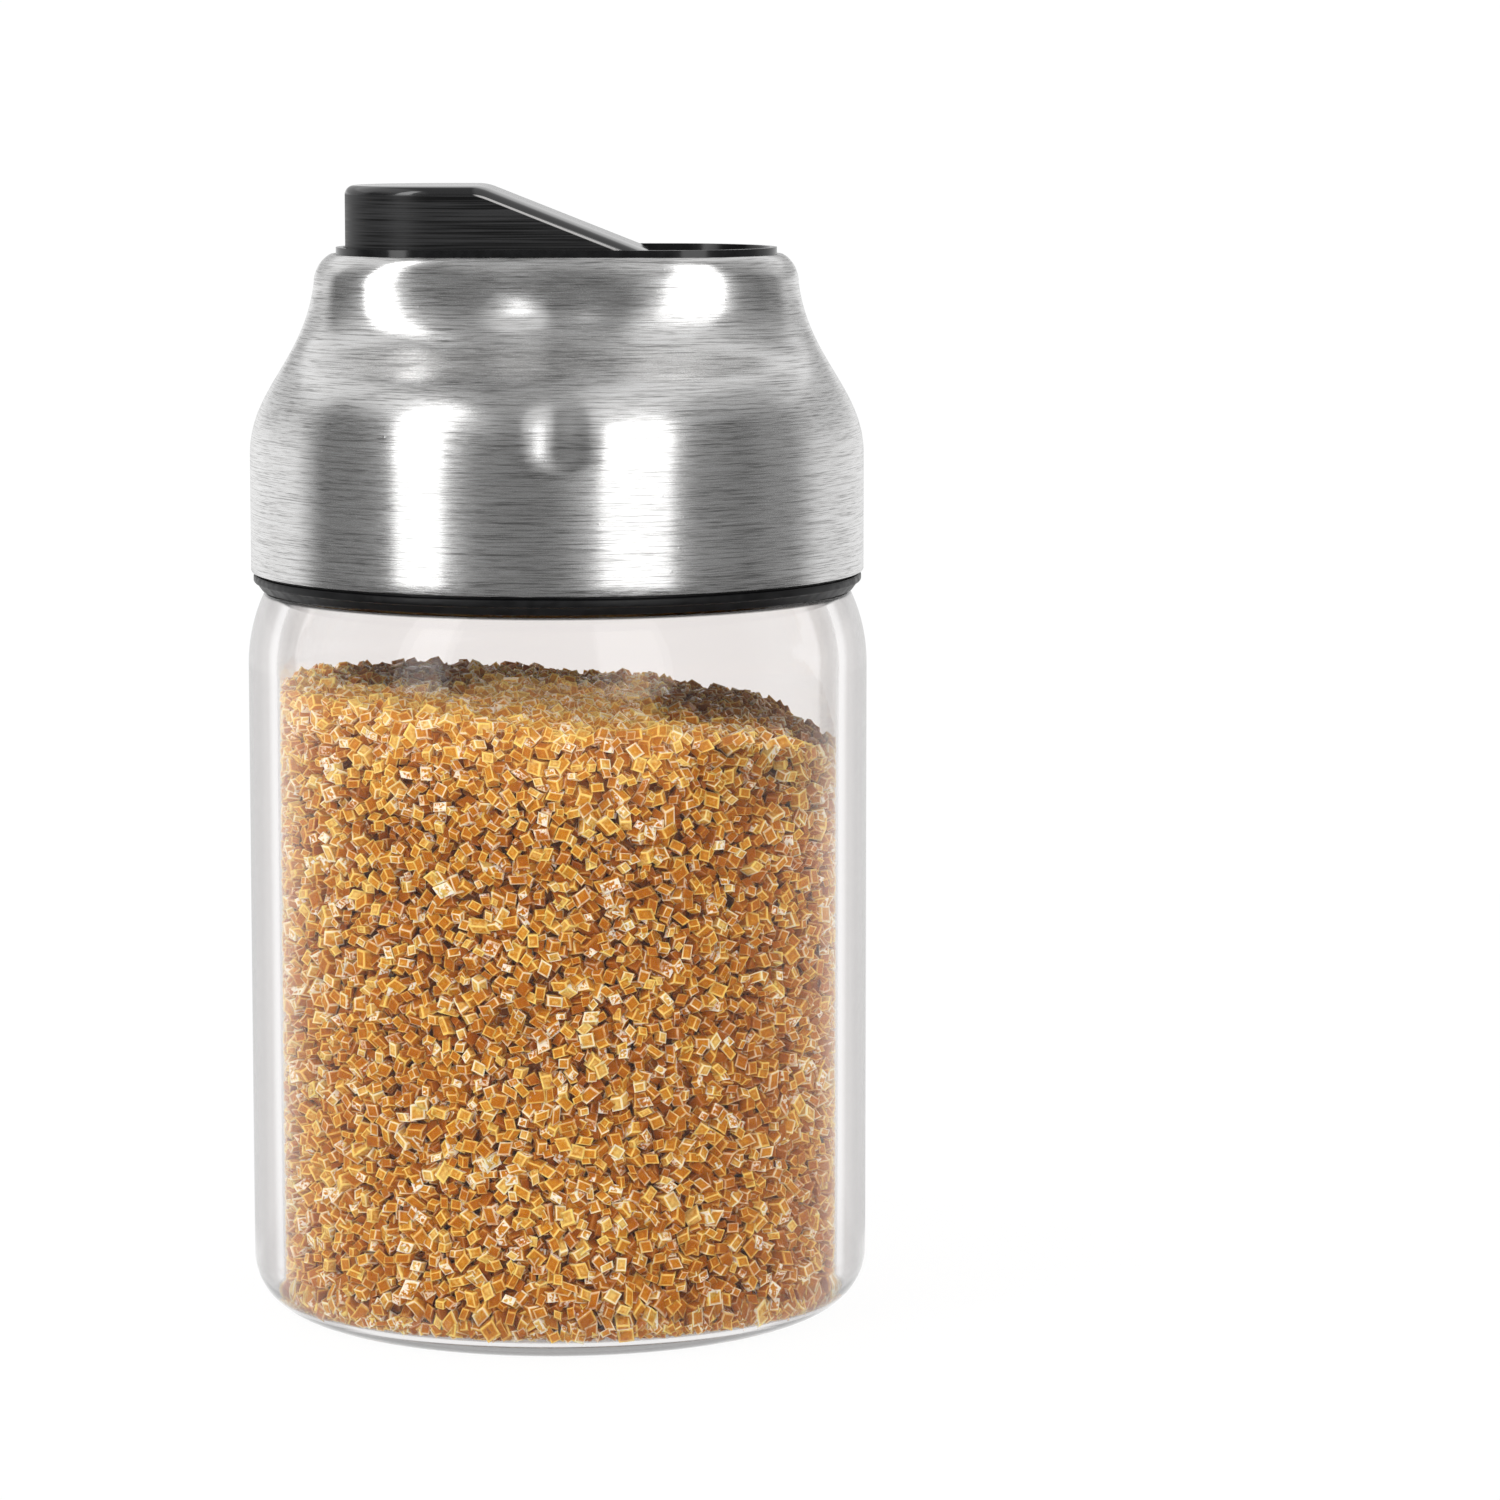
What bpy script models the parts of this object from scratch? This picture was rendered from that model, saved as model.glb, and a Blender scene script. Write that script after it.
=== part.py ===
"""Glass sugar dispenser with a steel-covered screw cap and a rocking pouring flap.

The origin is the centre of the glass base, +Z is up, the flap opens at -X and the thumb well is at +X.
All sizes are in metres.
"""
import math

import bmesh
import bpy
from mathutils import Matrix, Vector

# Shared values
CLEARANCE = 0.0003
OVERRUN = 0.0030
MERGE = 0.00001
TURN_STEPS = 48
PLAN_STEPS = 48
SHARP_ANGLE = math.radians(35)

# Glass jar
JAR_RADIUS = 0.03995
JAR_WALL = 0.0040
JAR_FLOOR = 0.0030
BASE_CORNER = 0.0070
FLOOR_CORNER = 0.0050
SHOULDER_START = 0.0840
SHOULDER_CURVE = 0.0175
NECK_STEP = 0.00415
NECK_WALL = 0.0040
NECK_HEIGHT = 0.0107
RIM_ROUND = 0.0010

# Sugar
SUGAR_BELOW_SHOULDER = 0.0055
SUGAR_TILT = 0.0039
SUGAR_MOUND = 0.0020
SUGAR_RING_SHARES = (0.86, 0.68, 0.46, 0.22)

# Inner cap and its soft ring
GASKET_THICK = 0.0015
GASKET_WIDTH = 0.0034
GASKET_ROUND = 0.0004
THREAD_ROOM = 0.0016
LINER_WALL = 0.0012
LINER_PLATE = 0.0020
LINER_FLANGE_HEIGHT = 0.0011
LINER_FLANGE_WIDTH = 0.0006
LINER_CHAMFER = 0.0006
LINER_DEPTH = 0.0113

# Steel cover
SHELL_WALL = 0.0006
SHELL_BAND_RISE = 0.0009
SHELL_PINCH_HEIGHT = 0.0220
SHELL_TOP_LENGTH = 0.0622
SHELL_TOP_WIDTH = 0.0340
SHELL_EDGE_HEIGHT = 0.0040
SHELL_EDGE_INSET = 0.0035
SHELL_OPENING_INSET = 0.00225
SIDE_START_SHARE = 0.38
SIDE_END_SHARE = 0.54
SIDE_REACH_SHARE = 0.84
FRONT_START_SHARE = 0.85
FRONT_END_SHARE = 0.28
FRONT_REACH_SHARE = 0.95
PINCH_RINGS = 15
HALVINGS = 40
EDGE_RINGS = 4

# Cup in the steel opening, with the pouring mouth on the left and the thumb well on the right
LIP_RISE = 0.0008
LIP_WALL = 0.0009
CUP_WALL = 0.0014
SEAT_DROP = 0.0069
WELL_DEPTH = 0.0127
WELL_START = 0.0065
WELL_RAMP_START = 0.0132
WELL_RAMP_TOP_DROP = 0.0027
WELL_RAMP_STEPS = 8
SEAT_WIDTH = 0.0033
MOUTH_STRETCH = 0.0021
CHUTE_WALL = 0.0012
SUPPORT_BEAD_WIDTH = 0.0007
SUPPORT_BEAD_HEIGHT = 0.0012
SUPPORT_BEAD_DROP = 0.0031
SEAT_FLANGE_WIDTH = 0.0030
SEAT_FLANGE_THICK = 0.0012
CATCH_LENGTH = 0.0060
CATCH_WIDTH = 0.0011
CATCH_HEIGHT = 0.0012

# Flap
FLAP_WALL = 0.0014
FLAP_RISE = 0.0079
FLAP_FLAT_LENGTH = 0.0177
FLAP_TAIL_THICK = 0.0034
FLAP_BEND_RADIUS = 0.0060
FLAP_TAIL_REACH = 0.0150
FLAP_TAIL_CORNER = 0.0030
FLAP_EDGE_ROUND = 0.0008
FLAP_EDGE_STEPS = 3
FLAP_BEND_STEPS = 5
FLAP_END_STEPS = 8
SEAL_THICK = 0.0012
SEAL_OVERLAP = 0.0016
SEAL_PLUG = 0.0010
SEAL_PLUG_CLEARANCE = 0.0006
STUD_RADIUS = 0.0015
STUD_HEAD_RADIUS = 0.0022
STUD_HEAD_THICK = 0.0008
STUD_SPREAD = 0.0060
CARRIER_THICK = 0.0014

# Hinge
PIN_RADIUS = 0.0010
HINGE_REACH = 0.0070
HINGE_DROP = 0.0043
BARREL_RADIUS = 0.0018
BOSS_RADIUS = 0.0019
BOSS_LENGTH = 0.0011
BOSS_END = 0.0005
ROUND_STEPS = 20

# Places that follow from the sizes above
NECK_RADIUS = JAR_RADIUS - NECK_STEP
SHOULDER_TURN = math.acos(1 - NECK_STEP / SHOULDER_CURVE)
RIM_HEIGHT = SHOULDER_START + SHOULDER_CURVE * math.sin(SHOULDER_TURN) + NECK_HEIGHT
SUGAR_HEIGHT = SHOULDER_START - SUGAR_BELOW_SHOULDER
LINER_BORE = NECK_RADIUS + THREAD_ROOM
LINER_BOTTOM = RIM_HEIGHT - LINER_DEPTH
SHELL_RADIUS = LINER_BORE + LINER_WALL + CLEARANCE + SHELL_WALL
SHELL_BOTTOM = LINER_BOTTOM + LINER_FLANGE_HEIGHT + CLEARANCE
SHELL_TOP_RADIUS = SHELL_TOP_WIDTH / 2
SHELL_TOP_HALF = SHELL_TOP_LENGTH / 2 - SHELL_TOP_RADIUS
GASKET_BOTTOM = RIM_HEIGHT + CLEARANCE
PLATE_BOTTOM = GASKET_BOTTOM + GASKET_THICK + CLEARANCE
PLATE_TOP = PLATE_BOTTOM + LINER_PLATE
SHELL_PINCH_START = PLATE_TOP + SHELL_BAND_RISE
SHELL_PINCH_END = SHELL_PINCH_START + SHELL_PINCH_HEIGHT
EDGE_TURN = math.acos(1 - SHELL_OPENING_INSET / SHELL_EDGE_INSET)
SHELL_TOP = SHELL_PINCH_END + SHELL_EDGE_HEIGHT * math.sin(EDGE_TURN)
EDGE_RUN = math.cos(EDGE_TURN) / SHELL_EDGE_INSET
EDGE_LEAN = SHELL_WALL * EDGE_RUN / math.hypot(EDGE_RUN, math.sin(EDGE_TURN) / SHELL_EDGE_HEIGHT)
CUP_RADIUS = SHELL_TOP_RADIUS - SHELL_OPENING_INSET - EDGE_LEAN - CLEARANCE
CUP_INNER_RADIUS = CUP_RADIUS - LIP_WALL
CUP_HALF = SHELL_TOP_HALF
LIP_TOP = SHELL_TOP + LIP_RISE
SEAT_TOP = LIP_TOP - SEAT_DROP
SEAT_BOTTOM = SEAT_TOP - CUP_WALL
WELL_BOTTOM = LIP_TOP - WELL_DEPTH
RAMP_TOP = LIP_TOP - WELL_RAMP_TOP_DROP
FLAP_RADIUS = CUP_INNER_RADIUS - CLEARANCE
MOUTH_RADIUS = CUP_INNER_RADIUS - SEAT_WIDTH
MOUTH_HALF = MOUTH_STRETCH / 2
MOUTH_CENTRE = -CUP_HALF + MOUTH_HALF
SEAL_BOTTOM = SEAT_TOP + CLEARANCE
FLAP_BOTTOM = SEAL_BOTTOM + SEAL_THICK + CLEARANCE
FLAP_LEFT = -CUP_HALF - FLAP_RADIUS
FLAP_TOP = LIP_TOP + FLAP_RISE
FLAP_BEND_X = FLAP_LEFT + FLAP_FLAT_LENGTH
FLAP_SLOPE = math.atan((FLAP_RISE + LIP_TOP - FLAP_BOTTOM - FLAP_TAIL_THICK) / (FLAP_TAIL_REACH - FLAP_BEND_X))
HINGE_Z = LIP_TOP - HINGE_DROP
BORE_RADIUS = PIN_RADIUS + CLEARANCE
BOSS_REACH = CUP_RADIUS + BOSS_LENGTH
PIN_REACH = BOSS_REACH - BOSS_END - CLEARANCE
INNER_WIDTH = FLAP_RADIUS - FLAP_WALL - CLEARANCE


def clear_scene():
    """Start from an empty file."""
    for obj in list(bpy.data.objects):
        bpy.data.objects.remove(obj, do_unlink=True)


def collection(name):
    """Make a collection in the scene."""
    made = bpy.data.collections.new(name)
    bpy.context.scene.collection.children.link(made)
    return made


def material(name, colour, roughness, metallic=0.0, transmission=0.0):
    """Make a Principled material."""
    made = bpy.data.materials.new(name)
    made.use_nodes = True
    shader = made.node_tree.nodes["Principled BSDF"]
    shader.inputs["Base Color"].default_value = (*colour, 1.0)
    shader.inputs["Roughness"].default_value = roughness
    shader.inputs["Metallic"].default_value = metallic
    shader.inputs["Transmission Weight"].default_value = transmission
    return made


def arc(centre_x, centre_z, radius, start, end, steps):
    """Points on an arc from one angle to another."""
    points = []
    for step in range(steps + 1):
        angle = start + (end - start) * step / steps
        points.append((centre_x + radius * math.cos(angle), centre_z + radius * math.sin(angle)))
    return points


def stadium(half, radius, steps=PLAN_STEPS, centre=0.0):
    """Outline of a long round-ended shape. No point lies where a straight side meets an end."""
    points = []
    for step in range(steps):
        angle = (step + 0.5) * math.tau / steps
        side = math.copysign(half, math.cos(angle))
        points.append((centre + side + radius * math.cos(angle), radius * math.sin(angle)))
    return points


def put(name, mesh, look, group):
    """Add a mesh as an object with its material and its smooth shading."""
    obj = bpy.data.objects.new(name, mesh)
    group.objects.link(obj)
    if look:
        mesh.materials.append(look)
    mesh.shade_smooth()
    mesh.set_sharp_from_angle(angle=SHARP_ANGLE)
    return obj


def as_cutter(obj):
    """Mark an object as a tool that only shapes others."""
    obj.hide_render = True
    obj.display_type = "WIRE"
    return obj


def turned(name, profile, look, group, closed=False, steps=TURN_STEPS):
    """Turn a profile about Z. It runs down its outer side."""
    mesh = bpy.data.meshes.new(name)
    points = [(r, 0.0, z) for r, z in profile]
    edges = [(i, i + 1) for i in range(len(points) - 1)]
    if closed:
        edges.append((len(points) - 1, 0))
    mesh.from_pydata(points, edges, [])
    obj = put(name, mesh, look, group)
    screw = obj.modifiers.new("Turn", "SCREW")
    screw.steps = steps
    screw.render_steps = steps
    screw.use_merge_vertices = True
    screw.merge_threshold = MERGE
    screw.use_smooth_shade = True
    return obj


def prism(name, outline, low, high, look, group, upright=True):
    """Extrude an outline along Z, or an outline in X and Z along Y."""
    bm = bmesh.new()
    if upright:
        corners = [bm.verts.new((x, y, low)) for x, y in outline]
        rise = Vector((0.0, 0.0, high - low))
    else:
        corners = [bm.verts.new((x, low, z)) for x, z in outline]
        rise = Vector((0.0, high - low, 0.0))
    face = bm.faces.new(corners)
    raised = bmesh.ops.extrude_face_region(bm, geom=[face])["geom"]
    bmesh.ops.translate(bm, vec=rise, verts=[v for v in raised if isinstance(v, bmesh.types.BMVert)])
    bmesh.ops.recalc_face_normals(bm, faces=bm.faces)
    mesh = bpy.data.meshes.new(name)
    bm.to_mesh(mesh)
    bm.free()
    return put(name, mesh, look, group)


def rod(name, radius, low, high, place, look, group, across=True):
    """A cylinder along Y, or along Z."""
    bm = bmesh.new()
    length = high - low
    bmesh.ops.create_cone(
        bm, cap_ends=True, segments=ROUND_STEPS, radius1=radius, radius2=radius, depth=length
    )
    middle = (low + high) / 2
    if across:
        bmesh.ops.rotate(bm, cent=(0, 0, 0), matrix=Matrix.Rotation(math.pi / 2, 3, "X"), verts=bm.verts)
        bmesh.ops.translate(bm, vec=(place[0], middle, place[1]), verts=bm.verts)
    else:
        bmesh.ops.translate(bm, vec=(place[0], place[1], middle), verts=bm.verts)
    mesh = bpy.data.meshes.new(name)
    bm.to_mesh(mesh)
    bm.free()
    return put(name, mesh, look, group)


def combine(obj, other, operation):
    """Join, cut or intersect an object with a cutter."""
    change = obj.modifiers.new(operation.title(), "BOOLEAN")
    change.operation = operation
    change.object = other
    change.solver = "EXACT"
    return obj


def set_origin(obj, place):
    """Move an object's origin without moving its shape."""
    shift = Vector(place)
    obj.data.transform(Matrix.Translation(-shift))
    obj.location = shift


def jar(look, group):
    """The glass: floor, wall, shoulder, neck and rim in one closed turned profile."""
    shoulder_x = JAR_RADIUS - SHOULDER_CURVE
    inner_radius = JAR_RADIUS - JAR_WALL
    neck_bore = NECK_RADIUS - NECK_WALL
    inner_curve = SHOULDER_CURVE - JAR_WALL
    inner_end = math.acos((neck_bore - shoulder_x) / inner_curve)
    rim_round_z = RIM_HEIGHT - RIM_ROUND
    quarter = math.pi / 2
    profile = [(0.0, JAR_FLOOR)]
    profile += arc(inner_radius - FLOOR_CORNER, JAR_FLOOR + FLOOR_CORNER, FLOOR_CORNER, -quarter, 0.0, 4)
    profile += arc(shoulder_x, SHOULDER_START, inner_curve, 0.0, inner_end, 5)
    profile += arc(neck_bore + RIM_ROUND, rim_round_z, RIM_ROUND, math.pi, quarter, 2)
    profile += arc(NECK_RADIUS - RIM_ROUND, rim_round_z, RIM_ROUND, quarter, 0.0, 2)
    profile += arc(shoulder_x, SHOULDER_START, SHOULDER_CURVE, SHOULDER_TURN, 0.0, 6)
    profile += arc(JAR_RADIUS - BASE_CORNER, BASE_CORNER, BASE_CORNER, 0.0, -quarter, 5)
    profile.append((0.0, 0.0))
    return turned("glass_jar", profile, look, group)


def sugar(look, group):
    """The heap: a turned lower part that ends in a tilted, slightly mounded top."""
    radius = JAR_RADIUS - JAR_WALL - CLEARANCE
    corner = FLOOR_CORNER - CLEARANCE
    floor = JAR_FLOOR + CLEARANCE
    bm = bmesh.new()

    def ring(r, height=None):
        points = []
        for x, y in stadium(0.0, r, steps=TURN_STEPS):
            z = height
            if height is None:
                share = r / radius
                z = SUGAR_HEIGHT - SUGAR_TILT * x / radius + SUGAR_MOUND * (1 - share * share)
            points.append(bm.verts.new((x, y, z)))
        return points

    lower = arc(radius - corner, floor + corner, corner, -math.pi / 2, 0.0, 3)
    rings = [ring(r, z) for r, z in lower]
    rings.append(ring(radius))
    rings += [ring(radius * share) for share in SUGAR_RING_SHARES]
    for below, above in zip(rings, rings[1:]):
        for i in range(TURN_STEPS):
            j = (i + 1) % TURN_STEPS
            bm.faces.new((below[i], below[j], above[j], above[i]))
    bm.faces.new(list(reversed(rings[0])))
    middle = bm.verts.new((0.0, 0.0, SUGAR_HEIGHT + SUGAR_MOUND))
    for i in range(TURN_STEPS):
        bm.faces.new((rings[-1][i], rings[-1][(i + 1) % TURN_STEPS], middle))
    mesh = bpy.data.meshes.new("sugar_fill")
    bm.to_mesh(mesh)
    bm.free()
    return put("sugar_fill", mesh, look, group)


def gasket(look, group):
    """The soft ring that lies on the rim of the glass."""
    outer = NECK_RADIUS
    inner = outer - GASKET_WIDTH
    top = GASKET_BOTTOM + GASKET_THICK
    profile = [
        (inner + GASKET_ROUND, top),
        (outer - GASKET_ROUND, top),
        (outer, top - GASKET_ROUND),
        (outer, GASKET_BOTTOM + GASKET_ROUND),
        (outer - GASKET_ROUND, GASKET_BOTTOM),
        (inner + GASKET_ROUND, GASKET_BOTTOM),
        (inner, GASKET_BOTTOM + GASKET_ROUND),
        (inner, top - GASKET_ROUND),
    ]
    return turned("jar_gasket", profile, look, group, closed=True)


def liner(look, group, cutters):
    """The inner cap: skirt, lower flange under the steel, and a plate with the hole for the chute."""
    outer = LINER_BORE + LINER_WALL
    flange = outer + LINER_FLANGE_WIDTH
    flange_top = LINER_BOTTOM + LINER_FLANGE_HEIGHT
    edge = LINER_FLANGE_HEIGHT / 3
    profile = [
        (0.0, PLATE_TOP),
        (outer - LINER_CHAMFER, PLATE_TOP),
        (outer, PLATE_TOP - LINER_CHAMFER),
        (outer, flange_top),
        (flange - edge, flange_top),
        (flange, flange_top - edge),
        (flange, LINER_BOTTOM + edge),
        (flange - edge, LINER_BOTTOM),
        (LINER_BORE + edge, LINER_BOTTOM),
        (LINER_BORE, LINER_BOTTOM + edge),
        (LINER_BORE, PLATE_BOTTOM - LINER_CHAMFER),
        (LINER_BORE - LINER_CHAMFER, PLATE_BOTTOM),
        (0.0, PLATE_BOTTOM),
    ]
    made = turned("cap_liner", profile, look, group)
    hole = stadium(MOUTH_HALF, MOUTH_RADIUS + CHUTE_WALL + CLEARANCE, centre=MOUTH_CENTRE)
    cutter = prism("liner_hole", hole, PLATE_BOTTOM - OVERRUN, PLATE_TOP + OVERRUN, None, cutters)
    return combine(made, as_cutter(cutter), "DIFFERENCE")


def pinch_point(share, start, end, reach):
    """Height share and inward share of a drawn-in curve at a share of its run."""
    early = 3 * share * (1 - share) ** 2
    late = 3 * share * share * (1 - share)
    return start * early + end * late + share**3, reach * late + share**3


def side_blend(rise):
    """Inward share of the cover's ends at a height share, found by halving the run."""
    low, high = 0.0, 1.0
    for _ in range(HALVINGS):
        middle = (low + high) / 2
        if pinch_point(middle, SIDE_START_SHARE, SIDE_END_SHARE, SIDE_REACH_SHARE)[0] < rise:
            low = middle
        else:
            high = middle
    return pinch_point(low, SIDE_START_SHARE, SIDE_END_SHARE, SIDE_REACH_SHARE)[1]


def shell(look, group):
    """The steel cover: a loft from a circle to a long round-ended top, turned in to the opening.

    Its ends draw in along a gentle curve. Its front and back stay upright for longer and then
    run in over a flat shoulder, so that the top stands on nearly upright walls.
    """
    bm = bmesh.new()
    rings = [(SHELL_BOTTOM, 0.0, SHELL_RADIUS)]
    for step in range(PINCH_RINGS + 1):
        rise, inward = pinch_point(step / PINCH_RINGS, FRONT_START_SHARE, FRONT_END_SHARE, FRONT_REACH_SHARE)
        height = SHELL_PINCH_START + SHELL_PINCH_HEIGHT * rise
        side = SHELL_RADIUS + (SHELL_TOP_HALF + SHELL_TOP_RADIUS - SHELL_RADIUS) * side_blend(rise)
        front = SHELL_RADIUS + (SHELL_TOP_RADIUS - SHELL_RADIUS) * inward
        rings.append((height, side - front, front))
    for step in range(1, EDGE_RINGS + 1):
        turn = EDGE_TURN * step / EDGE_RINGS
        inset = SHELL_EDGE_INSET * (1 - math.cos(turn))
        height = SHELL_PINCH_END + SHELL_EDGE_HEIGHT * math.sin(turn)
        rings.append((height, SHELL_TOP_HALF, SHELL_TOP_RADIUS - inset))
    loops = []
    for height, half, radius in rings:
        loops.append([bm.verts.new((x, y, height)) for x, y in stadium(half, radius)])
    for below, above in zip(loops, loops[1:]):
        for i in range(PLAN_STEPS):
            j = (i + 1) % PLAN_STEPS
            bm.faces.new((below[i], below[j], above[j], above[i]))
    mesh = bpy.data.meshes.new("cap_shell")
    bm.to_mesh(mesh)
    bm.free()
    made = put("cap_shell", mesh, look, group)
    sheet = made.modifiers.new("Sheet", "SOLIDIFY")
    sheet.thickness = SHELL_WALL
    sheet.offset = -1.0
    sheet.use_even_offset = True
    return made


def cup_side(drop, reach):
    """Side outline of the cup's floor: seat, step, well and rising ramp, moved out by a wall."""
    step_x = WELL_START - reach
    right = CUP_HALF + CUP_RADIUS + OVERRUN
    ramp_width = CUP_HALF + CUP_INNER_RADIUS - WELL_RAMP_START + reach
    ramp_height = RAMP_TOP - WELL_BOTTOM + drop
    points = [(-right, SEAT_TOP - drop), (step_x, SEAT_TOP - drop), (step_x, WELL_BOTTOM - drop)]
    for step in range(WELL_RAMP_STEPS + 1):
        turn = math.pi / 2 * step / WELL_RAMP_STEPS
        x = WELL_RAMP_START + ramp_width * math.sin(turn)
        points.append((x, RAMP_TOP - ramp_height * math.cos(turn)))
    points += [(right, RAMP_TOP), (right, LIP_TOP + OVERRUN), (-right, LIP_TOP + OVERRUN)]
    return points


def insert(look, group, cutters):
    """The cup with its lip, mouth, chute, seat flange, catches, hinge bosses and support bead."""
    wide = CUP_RADIUS + OVERRUN
    low = WELL_BOTTOM - CUP_WALL - OVERRUN
    made = prism("spout_insert", stadium(CUP_HALF, CUP_RADIUS), low, LIP_TOP, look, group)
    outside = prism("cup_outside", cup_side(CUP_WALL, CUP_WALL), -wide, wide, None, cutters, upright=False)
    combine(made, as_cutter(outside), "INTERSECT")
    cavity = prism("cup_cavity", stadium(CUP_HALF, CUP_INNER_RADIUS), low, LIP_TOP + OVERRUN, None, cutters)
    inside = prism("cup_inside", cup_side(0.0, 0.0), -wide, wide, None, cutters, upright=False)
    combine(cavity, as_cutter(inside), "INTERSECT")

    bead_top = LIP_TOP - LIP_RISE - SUPPORT_BEAD_HEIGHT
    bead = prism(
        "cup_bead", stadium(CUP_HALF, CUP_RADIUS + SUPPORT_BEAD_WIDTH),
        LIP_TOP - SUPPORT_BEAD_DROP, bead_top, None, cutters,
    )
    combine(made, as_cutter(bead), "UNION")
    boss = rod("hinge_bosses", BOSS_RADIUS, -BOSS_REACH, BOSS_REACH, (HINGE_REACH, HINGE_Z), None, cutters)
    combine(made, as_cutter(boss), "UNION")

    chute_radius = MOUTH_RADIUS + CHUTE_WALL
    chute_outline = stadium(MOUTH_HALF, chute_radius, centre=MOUTH_CENTRE)
    chute_bottom = PLATE_BOTTOM - CLEARANCE - CATCH_HEIGHT
    chute = prism("chute", chute_outline, chute_bottom, SEAT_BOTTOM + CUP_WALL / 2, None, cutters)
    combine(made, as_cutter(chute), "UNION")
    flange_outline = stadium(MOUTH_HALF, chute_radius + SEAT_FLANGE_WIDTH, centre=MOUTH_CENTRE)
    flange_low = PLATE_TOP + CLEARANCE
    flange = prism("chute_flange", flange_outline, flange_low, flange_low + SEAT_FLANGE_THICK, None, cutters)
    combine(made, as_cutter(flange), "UNION")
    catch_half = CATCH_LENGTH / 2
    catch_reach = chute_radius + CATCH_WIDTH
    catch_outline = [
        (MOUTH_CENTRE - catch_half, -catch_reach),
        (MOUTH_CENTRE + catch_half, -catch_reach),
        (MOUTH_CENTRE + catch_half, catch_reach),
        (MOUTH_CENTRE - catch_half, catch_reach),
    ]
    catch = prism("chute_catches", catch_outline, chute_bottom, chute_bottom + CATCH_HEIGHT, None, cutters)
    combine(made, as_cutter(catch), "UNION")

    combine(made, as_cutter(cavity), "DIFFERENCE")
    mouth_outline = stadium(MOUTH_HALF, MOUTH_RADIUS, centre=MOUTH_CENTRE)
    mouth = prism("mouth_hole", mouth_outline, chute_bottom - OVERRUN, SEAT_TOP + OVERRUN, None, cutters)
    combine(made, as_cutter(mouth), "DIFFERENCE")
    bore_reach = PIN_REACH + CLEARANCE
    bore = rod("hinge_holes", BORE_RADIUS, -bore_reach, bore_reach, (HINGE_REACH, HINGE_Z), None, cutters)
    return combine(made, as_cutter(bore), "DIFFERENCE")


def flap_height(x):
    """Height of the flap's top: level, a round bend, then the slope down to the tail."""
    tangent = FLAP_BEND_RADIUS * math.tan(FLAP_SLOPE / 2)
    bend_start = FLAP_BEND_X - tangent
    bend_end = bend_start + FLAP_BEND_RADIUS * math.sin(FLAP_SLOPE)
    if x <= bend_start:
        return FLAP_TOP
    if x < bend_end:
        return FLAP_TOP - FLAP_BEND_RADIUS + math.sqrt(FLAP_BEND_RADIUS**2 - (x - bend_start) ** 2)
    return FLAP_TOP - (x - FLAP_BEND_X) * math.tan(FLAP_SLOPE)


def flap_front(inset):
    """Front half of the flap's plan, from its round left end to the tail, as x and half width."""
    radius = FLAP_RADIUS - inset
    quarter = math.pi / 2
    points = []
    for step in range(FLAP_END_STEPS):
        turn = (step + 0.5) * quarter / FLAP_END_STEPS
        points.append((-CUP_HALF - radius * math.cos(turn), radius * math.sin(turn)))
    tangent = FLAP_BEND_RADIUS * math.tan(FLAP_SLOPE / 2)
    for step in range(FLAP_BEND_STEPS + 1):
        turn = FLAP_SLOPE * step / FLAP_BEND_STEPS
        points.append((FLAP_BEND_X - tangent + FLAP_BEND_RADIUS * math.sin(turn), radius))
    corner = FLAP_TAIL_CORNER - inset
    centre_x = FLAP_TAIL_REACH - FLAP_TAIL_CORNER
    for step in range(4):
        turn = quarter * (step + 0.5) / 4
        points.append((centre_x + corner * math.sin(turn), radius - corner + corner * math.cos(turn)))
    return points


def flap_loft(name, rings, look, group):
    """Bridge rings of front outlines and their mirror halves, and close both ends with strips."""
    bm = bmesh.new()
    loops = []
    for ring in rings:
        front = [bm.verts.new((x, -y, z)) for x, y, z in ring]
        back = [bm.verts.new((x, y, z)) for x, y, z in reversed(ring)]
        loops.append(front + back)
    count = len(loops[0])
    for first, second in zip(loops, loops[1:]):
        for i in range(count):
            j = (i + 1) % count
            bm.faces.new((first[i], first[j], second[j], second[i]))
    for loop in (loops[0], loops[-1]):
        for i in range(count // 2 - 1):
            bm.faces.new((loop[i], loop[i + 1], loop[count - 2 - i], loop[count - 1 - i]))
    bmesh.ops.recalc_face_normals(bm, faces=bm.faces)
    mesh = bpy.data.meshes.new(name)
    bm.to_mesh(mesh)
    bm.free()
    return put(name, mesh, look, group)


def flap_cover(look, group, cutters):
    """The hollow wedge, open below, with rounded top edges and notches for the pin."""
    inner = flap_front(FLAP_WALL)
    outer = flap_front(0.0)
    rings = [
        [(x, y, flap_height(x) - FLAP_WALL) for x, y in inner],
        [(x, y, FLAP_BOTTOM) for x, y in inner],
        [(x, y, FLAP_BOTTOM) for x, y in outer],
    ]
    for step in range(FLAP_EDGE_STEPS + 1):
        turn = math.pi / 2 * step / FLAP_EDGE_STEPS
        inset = FLAP_EDGE_ROUND * (1 - math.cos(turn))
        fall = FLAP_EDGE_ROUND * (1 - math.sin(turn))
        rings.append([(x, y, flap_height(x) - fall) for x, y in flap_front(inset)])
    made = flap_loft("flap_cover", rings, look, group)
    reach = FLAP_RADIUS + OVERRUN
    notch = rod("flap_notches", BORE_RADIUS, -reach, reach, (HINGE_REACH, HINGE_Z), None, cutters)
    combine(made, as_cutter(notch), "DIFFERENCE")
    set_origin(made, (HINGE_REACH, 0.0, HINGE_Z))
    return made


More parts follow.
